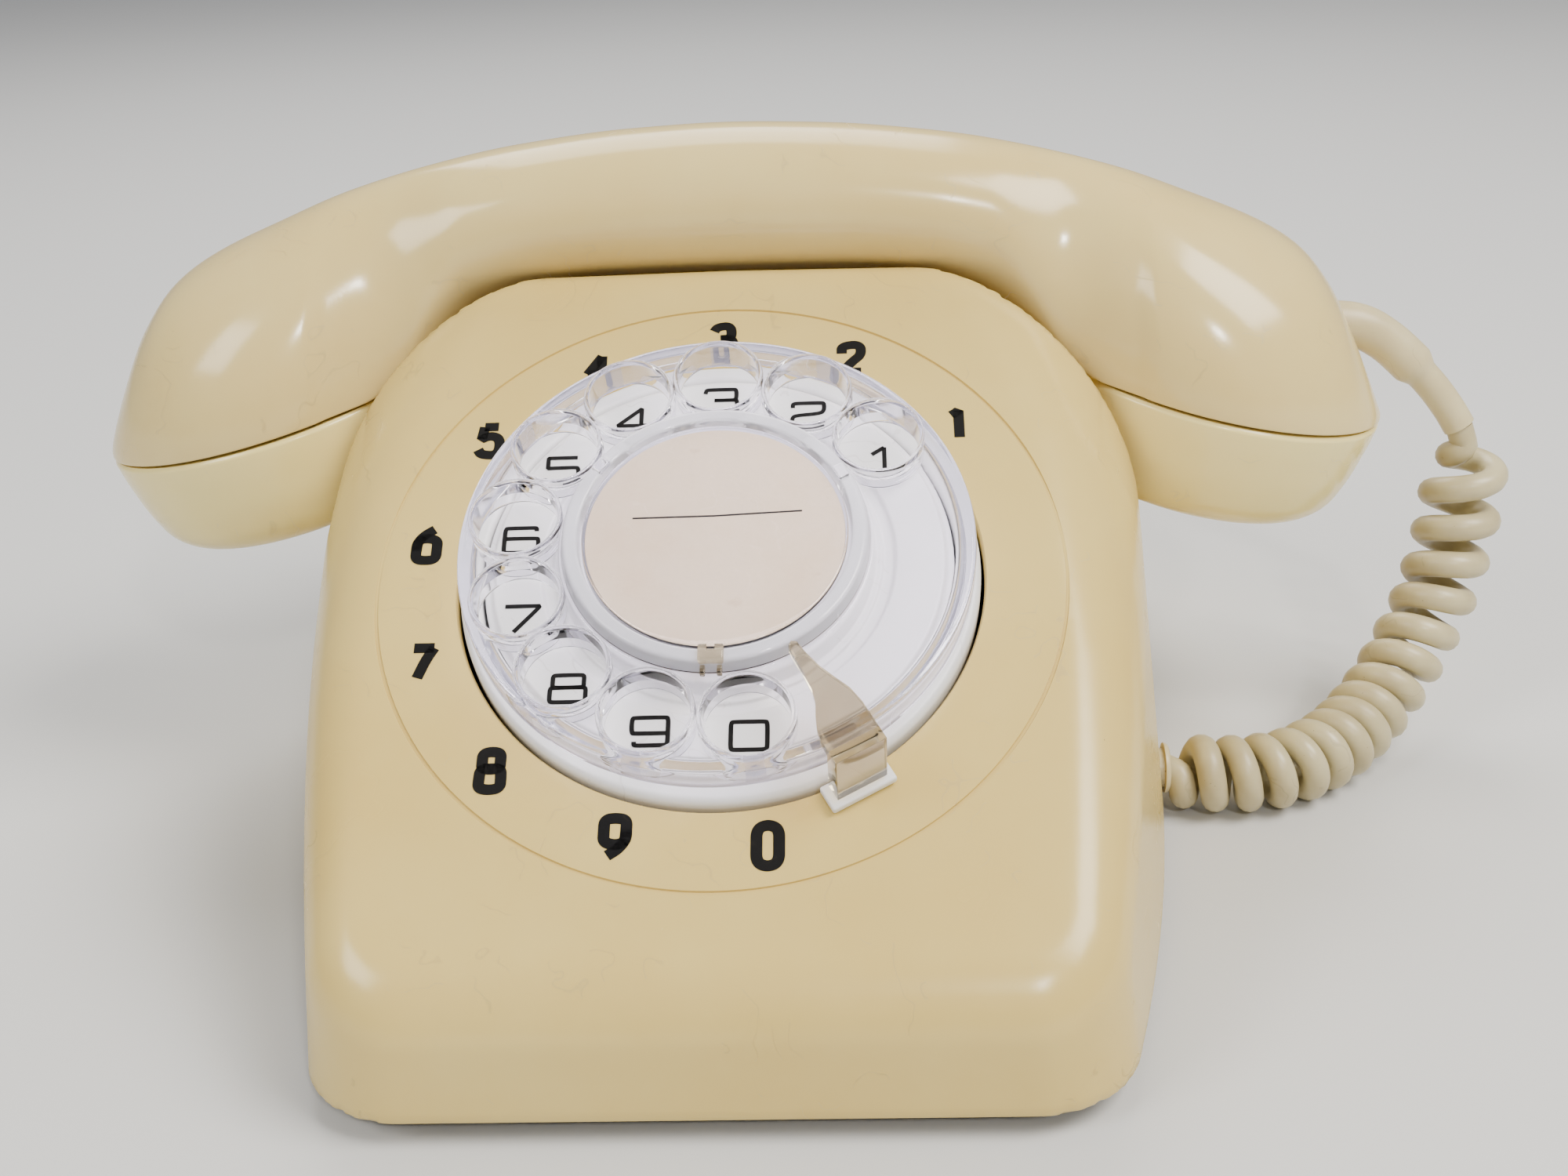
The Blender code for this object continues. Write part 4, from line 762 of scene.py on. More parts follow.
def buildCase():
    reach = 2 * mm
    low = (-caseSize["rearHalf"] * mm - reach, -caseSize["halfDepth"] * mm - reach, -2 * mm)
    high = (caseSize["rearHalf"] * mm + reach, caseSize["halfDepth"] * mm + reach, 100 * mm)
    case = mouldedMesh("caseMoulding", caseField, low, high, caseSize["cell"] * mm, looks["caseIvory"])
    groove, width, depth = grooveSize["radius"], grooveSize["width"], grooveSize["depth"]
    hole, lip = openingSize["dial"], openingSize["dialLip"]
    opening = roundedProfile([(0, -14, 0), (hole, -14, 0), (hole, -0.5, 0), (lip, 0.25, 0), (lip, 6, 0),
                              (0, 6, 0)])
    cutters = [lathe("cutDial", opening, 128, None, dialFrame),
               lathe("cutGroove", [(groove - width / 2, -depth), (groove + width / 2, -depth),
                                   (groove + width, 0.4), (groove - width, 0.4)], 160, None, dialFrame)]
    hole, lip = openingSize["plunger"], openingSize["plungerLip"]
    bore = [(0, 76), (hole, 76), (hole, 83.7), (lip, 84.4), (lip, 88), (0, 88)]
    for x in (-openingSize["plungerX"], openingSize["plungerX"]):
        cutters.append(lathe("cutPlunger", bore, 32, None, Matrix.Translation((x * mm, handsetY, 0))))
    hole = openingSize["cord"]
    bore = [(0, -8), (hole, -8), (hole, 8), (0, 8)]
    along = Matrix.Translation((77.5 * mm, *cordLook["gland"][1:])) @ Matrix.Rotation(math.pi / 2, 4, "Y")
    cutters.append(lathe("cutGland", bore, 32, None, along))
    inlet = Vector(openingSize["inlet"]) * mm
    cutters.append(lathe("cutInlet", bore, 32, None,
                         Matrix.Translation(inlet) @ Matrix.Rotation(-math.pi / 2, 4, "X")))
    cavity = mouldedMesh("cutCavity", cavityField, low, high, caseSize["cavityCell"] * mm, None)
    booleanCut(case, [cavity] + cutters)
    return shaded(case, 50)


casePiece = buildCase()
print("case built", len(casePiece.data.polygons))


# sizes of the handset in mm, each outline given outwards from the middle of the grip
handleSize = {
    "topAt": (0.0, 17.0, 37.0, 53.0, 68.0, 81.0, 94.0, 101.0, 106.0, 110.0, 113.0, 115.5, 117.0),
    "top": (119.4, 118.8, 116.7, 113.7, 109.6, 104.6, 99.0, 94.5, 88.5, 80.5, 73.5, 67.2, 63.5),
    "underAt": (0.0, 20.0, 36.0, 44.0, 50.0, 55.0, 59.0),
    "under": (93.4, 93.1, 91.5, 88.5, 84.5, 80.2, 76.5),
    "halfAt": (0.0, 44.0, 50.0, 55.0, 60.0, 66.0, 72.0),
    "half": (15.0, 15.0, 15.5, 16.6, 18.4, 21.8, 25.5),
    "cupX": 87.2, "cupZ": 71.0, "cupR": 30.3, "tilt": math.radians(13.0), "around": 96, "along": 110}


def smoothTable(at, values, x):
    # monotone cubic through a few points
    at, values = np.array(at), np.array(values)
    step = np.diff(values) / np.diff(at)
    slope = np.concatenate([[step[0]], (step[:-1] + step[1:]) / 2, [step[-1]]])
    for k in range(1, len(at) - 1):
        if step[k - 1] * step[k] <= 0:
            slope[k] = 0
        else:
            slope[k] = 2 * step[k - 1] * step[k] / (step[k - 1] + step[k])
    slope[0] = 0 if abs(step[0]) < 0.1 else slope[0]
    k = int(np.clip(np.searchsorted(at, x) - 1, 0, len(at) - 2))
    h = at[k + 1] - at[k]
    t = min(max((x - at[k]) / h, 0.0), 1.0)
    return float(values[k] * (1 + 2 * t) * (1 - t) ** 2 + slope[k] * h * t * (1 - t) ** 2
                 + values[k + 1] * t * t * (3 - 2 * t) + slope[k + 1] * h * t * t * (t - 1))


def seamHeight(x):
    return handleSize["cupZ"] - math.tan(handleSize["tilt"]) * (x - handleSize["cupX"])


def handleSection(x):
    side = abs(x)
    top = smoothTable(handleSize["topAt"], handleSize["top"], side)
    seam = seamHeight(side)
    under = max(smoothTable(handleSize["underAt"], handleSize["under"], side), seam) if side < 59 else seam
    top = max(top, under + 0.4)
    reach = handleSize["cupR"] * math.cos(handleSize["tilt"])
    if side < 72:
        half = smoothTable(handleSize["halfAt"], handleSize["half"], side)
    else:
        part = min(1.0, abs(side - handleSize["cupX"]) / reach)
        half = max(0.6, handleSize["cupR"] * math.sqrt(1 - part * part))
    blend = min(1.0, max(0.0, (side - 45) / 20))
    blend = blend * blend * (3 - 2 * blend)
    edge = min(0.6, (top - under) * 0.4)
    middle = (1 - blend) * (top + under) / 2 + blend * (under + edge)
    loop = []
    for k in range(handleSize["around"]):
        turn = 2 * math.pi * k / handleSize["around"]
        rise, wide = math.sin(turn), math.cos(turn)
        if rise >= 0:
            height = middle + (top - middle) * rise
        else:
            power = 1 - 0.65 * blend
            height = middle - (middle - under) * abs(rise) ** power
            wide = math.copysign(abs(wide) ** (1 - 0.45 * blend), wide)
        loop.append((x * mm, handsetY + half * wide * mm, height * mm))
    return loop


def cupFrame(side):
    turn = Matrix.Rotation(math.pi + side * handleSize["tilt"], 4, "Y")
    return Matrix.Translation((side * handleSize["cupX"] * mm, handsetY, handleSize["cupZ"] * mm)) @ turn


def buildHandle():
    reach = handleSize["cupR"] * math.cos(handleSize["tilt"])
    inner = [72 * k / 46 for k in range(46)]
    start = math.asin((72 - handleSize["cupX"]) / reach)
    count = 44
    turns = [start + (math.pi / 2 - start) * k / count for k in range(count + 1)]
    outer = [handleSize["cupX"] + reach * math.sin(turn) for turn in turns]
    half = inner + outer
    xs = [-x for x in reversed(half[1:])] + half
    loops = [handleSection(x) for x in xs]
    around = handleSize["around"]
    verts = [p for loop in loops for p in loop]
    faces = []
    for k in range(len(loops) - 1):
        for i in range(around):
            n = (i + 1) % around
            faces.append((k * around + i, k * around + n, (k + 1) * around + n, (k + 1) * around + i))
    faces.append(tuple(range(around)))
    faces.append(tuple(range((len(loops) - 1) * around, len(loops) * around)))
    handle = meshObject("handsetHandle", verts, faces, looks["handsetIvory"], sharp=55)
    cutters = []
    bore = [(0, -13), (19.5, -13), (19.5, -4.5), (24.0, -4.5), (24.0, 6), (0, 6)]
    for side in (-1, 1):
        cutters.append(lathe("cutCup", bore, 64, None, cupFrame(side)))
    booleanCut(handle, cutters)
    path = smoothPath(bootRoute[:4], 1.0 * mm)
    start = path[0] - (path[1] - path[0]).normalized() * 0.3 * mm
    booleanCut(handle, [tubeAlong("cutBoot", [start] + path, [4.7 * mm] * (len(path) + 1), 28, None)])
    return shaded(handle, 55)


def buildCap(name, side):
    r = handleSize["cupR"]
    outline = roundedProfile([
        (r - 0.5, 0.3, 0.0), (r, 0.9, 0.5), (r - 0.5, 4.5, 1.6), (r - 1.9, 11.4, 3.0), (r - 3.9, 16.8, 2.6),
        (r - 6.9, 19.5, 2.4), (r - 10.5, 20.6, 2.0), (0, 20.7, 0), (0, 18.7, 0), (r - 12.5, 18.7, 0),
        (r - 7.5, 16.4, 1.0), (21.7, 6.0, 1.0), (21.7, -3.5, 0), (23.7, -3.5, 0), (23.7, 0.3, 0)], 5)
    # the caps wear the brighter ivory, painted light for the strong light they catch
    cap = lathe(name, outline, 128, looks["capIvory"], cupFrame(side), 45)
    # six holes round a seventh let the sound through
    cutters = []
    bore = [(0, 17), (1.2, 17), (1.2, 20.2), (1.6, 21.0), (1.6, 23), (0, 23)]
    for k in range(7):
        ring = 0.0 if k == 6 else 7.5 * mm
        spot = (ring * math.cos(math.pi / 3 * k), ring * math.sin(math.pi / 3 * k), 0)
        cutters.append(lathe("cutHole", bore, 20, None, cupFrame(side) @ Matrix.Translation(spot)))
    booleanCut(cap, cutters)
    return shaded(cap, 40)


handlePiece = buildHandle()
receiverCap = buildCap("receiverCap", -1)
transmitterCap = buildCap("transmitterCap", 1)
print("handset built")


# the wheel's sizes in mm, measured on the sloping face
wheelSize = {"radius": 39.5, "top": 9.3, "thick": 2.2, "skirt": 4.2, "wall": 1.7, "ringR": 31.2,
             "holeR": 6.45,
             "tubeWall": 0.75, "tubeLow": 4.9, "tubeTop": 10.5, "first": math.radians(36.5),
             "step": math.radians(27.0), "holes": 10, "hubIn": 20.6, "hubOut": 23.1, "hubTop": 12.1,
             "tabs": (145, 28), "tabReach": 21.7}


def arcTree(name):
    # copies of one piece stood along an arc, each turned with it
    tree = bpy.data.node_groups.new(name, "GeometryNodeTree")
    for label, kind, value in (("Geometry", "NodeSocketGeometry", None), ("Piece", "NodeSocketObject", None),
                               ("Count", "NodeSocketInt", 12), ("Radius", "NodeSocketFloat", 0.01),
                               ("First", "NodeSocketFloat", 0.0), ("Step", "NodeSocketFloat", 0.5),
                               ("Material", "NodeSocketMaterial", None)):
        groupSocket(tree, label, kind, "INPUT", value)
    groupSocket(tree, "Geometry", "NodeSocketGeometry", "OUTPUT")
    source, sink = makeNode(tree, "NodeGroupInput"), makeNode(tree, "NodeGroupOutput")
    spots = makeNode(tree, "GeometryNodePoints")
    tree.links.new(source.outputs["Count"], spots.inputs["Count"])
    index = makeNode(tree, "GeometryNodeInputIndex")
    turn = mathNode(tree, "MULTIPLY_ADD", index.outputs["Index"], source.outputs["Step"])
    tree.links.new(source.outputs["First"], turn.node.inputs[2])
    place = makeNode(tree, "ShaderNodeCombineXYZ")
    for axis, kind in ((0, "COSINE"), (1, "SINE")):
        part = mathNode(tree, "MULTIPLY", mathNode(tree, kind, turn), source.outputs["Radius"])
        tree.links.new(part, place.inputs[axis])
    tree.links.new(place.outputs["Vector"], spots.inputs["Position"])
    facing = makeNode(tree, "ShaderNodeCombineXYZ")
    tree.links.new(turn, facing.inputs[2])
    info = makeNode(tree, "GeometryNodeObjectInfo")
    tree.links.new(source.outputs["Piece"], info.inputs["Object"])
    copies = makeNode(tree, "GeometryNodeInstanceOnPoints")
    tree.links.new(spots.outputs["Points"], copies.inputs["Points"])
    tree.links.new(info.outputs["Geometry"], copies.inputs["Instance"])
    tree.links.new(facing.outputs["Vector"], copies.inputs["Rotation"])
    joined = makeNode(tree, "GeometryNodeJoinGeometry")
    real = makeNode(tree, "GeometryNodeRealizeInstances")
    paint = makeNode(tree, "GeometryNodeSetMaterial")
    tree.links.new(copies.outputs["Instances"], joined.inputs["Geometry"])
    tree.links.new(source.outputs["Geometry"], joined.inputs["Geometry"])
    tree.links.new(joined.outputs["Geometry"], real.inputs["Geometry"])
    tree.links.new(real.outputs["Geometry"], paint.inputs["Geometry"])
    tree.links.new(source.outputs["Material"], paint.inputs["Material"])
    tree.links.new(paint.outputs["Geometry"], sink.inputs["Geometry"])
    return tree


copyTree = arcTree("copiesAlongArc")


def alongArc(body, piece, values):
    mod = body.modifiers.new("copies", "NODES")
    mod.node_group = copyTree
    values = {**values, "Piece": piece}
    for item in copyTree.interface.items_tree:
        if item.item_type == "SOCKET" and item.in_out == "INPUT" and item.name in values:
            mod[item.identifier] = values[item.name]
    applyModifiers(body)
    bpy.data.objects.remove(piece, do_unlink=True)
    return body


def emptyMesh(name):
    obj = bpy.data.objects.new(name, bpy.data.meshes.new(name))
    bpy.context.scene.collection.objects.link(obj)
    return obj


def buildWheel():
    w = wheelSize
    r, top, under = w["radius"], w["top"], w["top"] - w["thick"]
    outline = roundedProfile([
        (2.8, 7.2, 0), (8.5, 7.2, 0), (8.5, under, 0), (r - w["wall"] - 0.9, under, 0.6),
        (r - w["wall"], w["skirt"], 0.3),
        (r, w["skirt"], 0.5), (r, top - 0.2, 0.9), (r - 1.5, top, 0.8), (w["hubOut"] + 0.5, top, 0.5),
        (w["hubOut"] - 0.1, w["hubTop"], 0.7), (w["hubIn"] + 0.2, w["hubTop"], 0.6),
        (w["hubIn"], top + 0.4, 0.3),
        (8.5, top + 0.4, 0), (8.5, 8.6, 0), (2.8, 8.6, 0)], 5)
    wheel = lathe("fingerWheelClear", outline, 160, looks["clearAcrylic"], sharp=50)
    mid = w["holeR"] + w["tubeWall"] / 2
    bore = lathe("bore", [(0, 3), (mid, 3), (mid, 14), (0, 14)], 56, None)
    arc = {"Count": w["holes"], "Radius": w["ringR"] * mm, "First": w["first"], "Step": w["step"]}
    cutter = alongArc(emptyMesh("bores"), bore, arc)
    booleanCut(wheel, [cutter])
    tube = lathe("tube", roundedProfile([
        (w["holeR"], w["tubeLow"], 0.25), (w["holeR"] + w["tubeWall"], w["tubeLow"], 0.25),
        (w["holeR"] + w["tubeWall"] + 0.08, w["tubeTop"] - 0.5, 0.4), (w["holeR"] + 0.65, w["tubeTop"], 0.3),
        (w["holeR"] + 0.35, w["tubeTop"], 0.3), (w["holeR"], w["tubeTop"] - 0.45, 0.3)], 4), 56, None)
    tubes = alongArc(emptyMesh("tubes"), tube, {**arc, "Material": looks["tubeAcrylic"]})
    booleanCut(wheel, [tubes], "UNION")
    shaded(wheel, 42)
    paintRing(wheel, looks["hubAcrylic"], (w["hubIn"] - 0.3, w["hubOut"] + 0.3), (top + 0.1, 13))
    # the skirt faces get the darker acrylic, painted shade for the shadows on the skirt's inner wall
    paintRing(wheel, looks["skirtAcrylic"], (r - w["wall"] - 0.3, r + 0.3), (0, top - 1.2))
    for turn in w["tabs"]:
        tab = softBox("tab", (-1.3, w["tabReach"] - 0.9, w["hubTop"] - 0.6),
                      (1.3, w["tabReach"] + 0.9, w["hubTop"] + 0.55), 0.3, looks["clearAcrylic"])
        placed(tab, Matrix.Rotation(math.radians(turn - 90), 4, "Z"))
        booleanCut(wheel, [tab], "UNION")
    return placed(wheel, dialFrame)


def paintRing(obj, mat, radii, heights):
    # gives the faces between two radii and two heights (mm) their own finish
    obj.data.materials.append(mat)
    slot = len(obj.data.materials) - 1
    for face in obj.data.polygons:
        reach = math.hypot(face.center.x, face.center.y) / mm
        if radii[0] < reach < radii[1] and heights[0] < face.center.z / mm < heights[1]:
            face.material_index = slot


def boxMesh(name, low, high, mats, smooth=True):
    # a box between two corners in mm
    x0, y0, x1, y1 = low[0] * mm, low[1] * mm, high[0] * mm, high[1] * mm
    corners = [(x, y, z * mm) for z in (low[2], high[2]) for x, y in ((x0, y0), (x1, y0), (x1, y1), (x0, y1))]
    faces = [(0, 1, 2, 3), (4, 5, 6, 7), (0, 1, 5, 4), (1, 2, 6, 5), (2, 3, 7, 6), (3, 0, 4, 7)]
    return meshObject(name, corners, faces, mats, smooth)


def softBox(name, low, high, edge, mats):
    box = boxMesh(name, low, high, mats)
    bevelled(box, edge * mm, 3)
    return shaded(box, 50)


def buildClip():
    # the smoked latch holds the label cover, and its fork reaches over the wheel
    clip = softBox("labelClipLatch", (-1.9, -23.1, 11.1), (1.9, -20.4, 12.9), 0.3, looks["smokedAcrylic"])
    notch = softBox("notch", (-0.6, -21.4, 11.0), (0.6, -19.9, 14.0), 0.1, None)
    booleanCut(clip, [notch])
    for x in (-1.25, 1.25):
        prong = softBox("prong", (x - 0.4, -24.6, 10.3), (x + 0.4, -22.6, 11.3), 0.2, looks["smokedAcrylic"])
        booleanCut(clip, [prong], "UNION")
    return placed(shaded(clip, 50), dialFrame)


# outlines of the fixed rings as (radius, height, fillet) in mm, measured on the sloping face
plateOutline = [
    (5.2, 0.4, 0), (36.4, 0.4, 0.2), (36.4, 2.2, 0.5), (35.2, 2.6, 0.5), (34.9, 3.7, 0.5), (27.4, 3.8, 0.4),
    (27.0, 2.9, 0.4), (25.4, 2.9, 0.3), (25.2, 3.6, 0.3), (24.2, 3.6, 0.3), (23.7, 6.4, 0.8),
    (22.6, 6.7, 0.5),
    (5.2, 6.7, 0)]
rimOutline = [(36.9, -6.8, 0.3), (40.4, -6.8, 0.3), (40.4, 0.8, 0.5), (39.7, 1.7, 0.5), (37.6, 1.8, 0.4),
              (36.9, 1.2, 0.4)]


def buildPlate():
    plate, rim = (lathe(name, roundedProfile(outline, 4), 160, looks["dialWhite"], dialFrame, 30)
                  for name, outline in (("numberPlateRings", plateOutline), ("dialRimWhite", rimOutline)))
    return plate, rim


def extrudeStroke(points, width, height, closed, verts, faces):
    pts = [Vector(p) for p in points]
    count = len(pts)
    base = len(verts)
    for k, p in enumerate(pts):
        before = pts[k - 1] if (closed or k > 0) else pts[k]
        after = pts[(k + 1) % count] if (closed or k < count - 1) else pts[k]
        one, two = (p - before), (after - p)
        one = one.normalized() if one.length > 1e-9 else two.normalized()
        two = two.normalized() if two.length > 1e-9 else one
        along = (one + two).normalized() if (one + two).length > 0.2 else one
        normal = Vector((-along.y, along.x))
        stretch = min(1.6, 1 / max(0.35, normal.dot(Vector((-one.y, one.x)))))
        for sign in (1, -1):
            q = p + normal * sign * width / 2 * stretch
            verts.append((q.x, q.y, 0.0))
            verts.append((q.x, q.y, height))
    last = count if closed else count - 1
    for k in range(last):
        a, b = base + 4 * k, base + 4 * ((k + 1) % count)
        faces.append((a + 1, b + 1, b + 3, a + 3))
        faces.append((a, a + 2, b + 2, b))
        faces.append((a, b, b + 1, a + 1))
        faces.append((a + 2, a + 3, b + 3, b + 2))
    if not closed:
        for k, flip in ((0, False), (count - 1, True)):
            a = base + 4 * k
            faces.append((a, a + 1, a + 3, a + 2) if not flip else (a, a + 2, a + 3, a + 1))


def softened(points, closed, rounds=3):
    pts = [Vector(p) for p in points]
    for _ in range(rounds):
        result = [] if closed else [pts[0]]
        pairs = zip(pts, pts[1:] + pts[:1]) if closed else zip(pts, pts[1:])
        for a, b in pairs:
            result.append(a * 0.75 + b * 0.25)
            result.append(a * 0.25 + b * 0.75)
        if not closed:
            result.append(pts[-1])
        pts = result
    return pts


# each digit as (closed, points) strokes in a box one unit high; a doubled point keeps a corner
boldDigits = {
    "0": [(True, [(0.00, 0.50), (0.00, 0.98), (0.30, 1.12), (0.60, 0.98), (0.60, 0.50), (0.60, 0.02),
                  (0.30, -0.12), (0.00, 0.02)])],
    "1": [(False, [(0.12, 0.84), (0.22, 0.90), (0.34, 1.00), (0.34, 1.00), (0.34, 0.50), (0.34, 0.00)])],
    "2": [(False, [(0.03, 0.74), (0.03, 1.04), (0.60, 1.10), (0.64, 0.68), (0.36, 0.42), (0.02, 0.00),
                   (0.02, 0.00), (0.02, 0.00), (0.62, 0.00)])],
    "3": [(False, [(0.04, 0.86), (0.14, 1.04), (0.56, 1.08), (0.60, 0.56), (0.24, 0.54)]),
          (False, [(0.24, 0.54), (0.64, 0.56), (0.68, -0.08), (0.10, -0.08), (0.00, 0.16)])],
    "4": [(False, [(0.44, 0.00), (0.44, 0.96), (0.44, 0.96), (0.44, 0.96), (0.02, 0.26), (0.02, 0.26),
                   (0.02, 0.26), (0.64, 0.26)])],
    "5": [(False, [(0.56, 0.98), (0.14, 0.98), (0.14, 0.98), (0.14, 0.98), (0.08, 0.52), (0.08, 0.52),
                   (0.36, 0.66), (0.66, 0.50),
                   (0.62, -0.10), (0.12, -0.08), (0.00, 0.12)])],
    "6": [(False, [(0.50, 1.00), (0.20, 0.80), (0.02, 0.52), (0.02, 0.26)]),
          (True, [(0.02, 0.30), (0.04, 0.62), (0.32, 0.70), (0.62, 0.60), (0.62, 0.30), (0.62, -0.06),
                  (0.30, -0.10), (0.02, -0.04)])],
    "7": [(False, [(0.02, 0.98), (0.60, 0.98), (0.60, 0.98), (0.60, 0.98), (0.40, 0.60), (0.20, 0.00)])],
    "8": [(True, [(0.06, 0.76), (0.06, 1.02), (0.31, 1.08), (0.56, 1.02), (0.56, 0.76), (0.56, 0.56),
                  (0.31, 0.52), (0.06, 0.56)]),
          (True, [(0.01, 0.26), (0.03, 0.54), (0.31, 0.56), (0.59, 0.54), (0.61, 0.26), (0.61, -0.04),
                  (0.31, -0.10), (0.01, -0.04)])],
    "9": [(False, [(0.12, 0.00), (0.42, 0.20), (0.60, 0.48), (0.60, 0.74)]),
          (True, [(0.60, 0.70), (0.58, 0.38), (0.30, 0.30), (0.00, 0.40), (0.00, 0.70), (0.00, 1.06),
                  (0.32, 1.10), (0.60, 1.04)])],
}
thinDigits = {
    "0": [(True, [(0.00, 0.50), (0.00, 0.97), (0.06, 1.0), (0.40, 1.0), (0.74, 1.0), (0.80, 0.97),
                  (0.80, 0.50), (0.80, 0.03), (0.74, 0.0),
                  (0.40, 0.0), (0.06, 0.0), (0.00, 0.03)])],
    "1": [(False, [(0.10, 0.70), (0.40, 1.00), (0.40, 1.00), (0.40, 1.00), (0.40, 0.00)])],
    "2": [(False, [(0.04, 0.80), (0.04, 0.97), (0.12, 1.0), (0.40, 1.0), (0.74, 1.0), (0.80, 0.97),
                   (0.80, 0.66), (0.70, 0.52), (0.10, 0.46),
                   (0.02, 0.34), (0.02, 0.0), (0.02, 0.0), (0.80, 0.0)])],
    "3": [(False, [(0.02, 0.82), (0.04, 0.98), (0.12, 1.0), (0.70, 1.0), (0.78, 0.98), (0.78, 0.54),
                   (0.70, 0.52), (0.24, 0.52)]),
          (False, [(0.24, 0.52), (0.74, 0.52), (0.80, 0.50), (0.80, 0.02), (0.74, 0.0), (0.08, 0.0),
                   (0.0, 0.02), (0.0, 0.18)])],
    "4": [(False, [(0.60, 0.00), (0.60, 1.00), (0.60, 1.00), (0.02, 0.26), (0.02, 0.26), (0.82, 0.26)])],
    "5": [(False, [(0.76, 1.0), (0.06, 1.0), (0.06, 1.0), (0.06, 0.56), (0.06, 0.56), (0.72, 0.58),
                   (0.80, 0.54), (0.80, 0.02), (0.74, 0.0),
                   (0.08, 0.0), (0.0, 0.02), (0.0, 0.14)])],
    "6": [(False, [(0.74, 0.86), (0.74, 0.99), (0.66, 1.0), (0.08, 1.0), (0.0, 0.98), (0.0, 0.50),
                   (0.0, 0.03), (0.06, 0.0), (0.74, 0.0),
                   (0.80, 0.03), (0.80, 0.54), (0.74, 0.57), (0.02, 0.57)])],
    "7": [(False, [(0.00, 1.00), (0.80, 1.00), (0.80, 1.00), (0.76, 0.90), (0.24, 0.00)])],
    "8": [(True, [(0.05, 0.76), (0.05, 0.97), (0.12, 1.0), (0.68, 1.0), (0.75, 0.97), (0.75, 0.76),
                  (0.75, 0.57), (0.68, 0.54), (0.12, 0.54),
                  (0.05, 0.57)]),
          (True, [(0.0, 0.27), (0.0, 0.51), (0.07, 0.54), (0.73, 0.54), (0.80, 0.51), (0.80, 0.27),
                  (0.80, 0.03), (0.73, 0.0), (0.07, 0.0),
                  (0.0, 0.03)])],
    "9": [(False, [(0.06, 0.14), (0.06, 0.01), (0.14, 0.0), (0.72, 0.0), (0.80, 0.02), (0.80, 0.50),
                   (0.80, 0.97), (0.74, 1.0), (0.06, 1.0),
                   (0.0, 0.97), (0.0, 0.46), (0.06, 0.43), (0.78, 0.43)])],
}


def buildDigits(name, shapes, look):
    verts, faces = [], []
    for k in range(10):
        digit = str((k + 1) % 10)
        turn = wheelSize["first"] + wheelSize["step"] * k
        cx, cy = look["radius"] * math.cos(turn), look["radius"] * math.sin(turn)
        before = len(verts)
        for closed, points in shapes[digit]:
            points = [(x * look["wide"], y) for x, y in points]
            extrudeStroke(softened(points, closed), look["stroke"] / look["tall"], 1.0, closed, verts, faces)
        xs = [v[0] for v in verts[before:]]
        middle = (min(xs) + max(xs)) / 2
        for i in range(before, len(verts)):
            x, y, z = verts[i]
            verts[i] = ((cx + (x - middle) * look["tall"]) * mm, (cy + (y - 0.5) * look["tall"]) * mm,
                        (look["height"] + z * look["raised"]) * mm)
    return placed(meshObject(name, verts, faces, looks["digitBlack"], False), dialFrame)


def buildHub():
    disc = roundedProfile([(0, 10.15, 0), (19.6, 10.15, 0.1), (19.6, 10.5, 0.1), (0, 10.5, 0)], 2)
    card = lathe("labelCardDisc", disc, 96, looks["labelCard"], dialFrame, 30)
    cover = lathe("labelCoverClear", roundedProfile([
        (0, 10.8, 0), (20.2, 10.8, 0.2), (20.2, 11.5, 0.4), (17.5, 11.8, 1.0), (8.0, 11.9, 1.0),
        (0, 11.95, 0)], 4), 96,
        looks["clearAcrylic"], dialFrame, 40)
    verts, faces = [], []
    line = [Vector((x * mm, y * mm)) for x, y in ((-12.6, 3.2), (0, 3.3), (13.2, 3.9))]
    extrudeStroke(line, 0.28 * mm, 0.05 * mm, False, verts, faces)
    raised = [(x, y, z + 10.5 * mm) for x, y, z in verts]
    rule = placed(meshObject("labelRule", raised, faces, looks["digitBlack"], False), dialFrame)
    return card, cover, rule


stopSize = {"side": math.radians(-61.0), "low": 11.6, "thick": 1.7,
            "leg": ((-4.1, -44.3, 2.2), (4.1, -41.6, 13.3)), "seat": ((-5.3, -45.2, 0.4), (5.3, -40.9, 1.8)),
            "horn": ((-4.1, -43.6), (-4.1, -40.0), (-3.7, -38.2), (-2.8, -36.2), (-1.7, -34.2), (-1.1, -32.0),
                     (-0.8, -29.0), (-0.7, -25.5), (-0.5, -24.1), (0.2, -23.6), (0.9, -24.1), (1.1, -26.2),
                     (1.7, -29.2), (2.7, -32.0), (3.7, -34.6), (4.1, -37.4), (4.1, -43.6))}


def buildStop():
    horn = [Vector(p) for p in stopSize["horn"]]
    low, high = stopSize["low"], stopSize["low"] + stopSize["thick"]
    verts = [(p.x, p.y, low) for p in horn] + [(p.x, p.y, high) for p in horn]
    count = len(horn)
    faces = [tuple(range(count)), tuple(range(count, 2 * count))]
    faces += [(k, (k + 1) % count, count + (k + 1) % count, count + k) for k in range(count)]
    stop = meshObject("fingerStopClear", [tuple(c * mm for c in v) for v in verts], faces,
                      looks["smokedAcrylic"])
    leg = boxMesh("leg", *stopSize["leg"], None)
    booleanCut(stop, [leg], "UNION")
    bevelled(stop, 0.5 * mm, 4)
    shaded(stop, 50)
    turned = dialFrame @ Matrix.Rotation(stopSize["side"] + math.pi / 2, 4, "Z")
    placed(stop, turned)
    socket = softBox("fingerStopSeat", *stopSize["seat"], 0.35, looks["dialWhite"])
    return stop, placed(socket, turned)


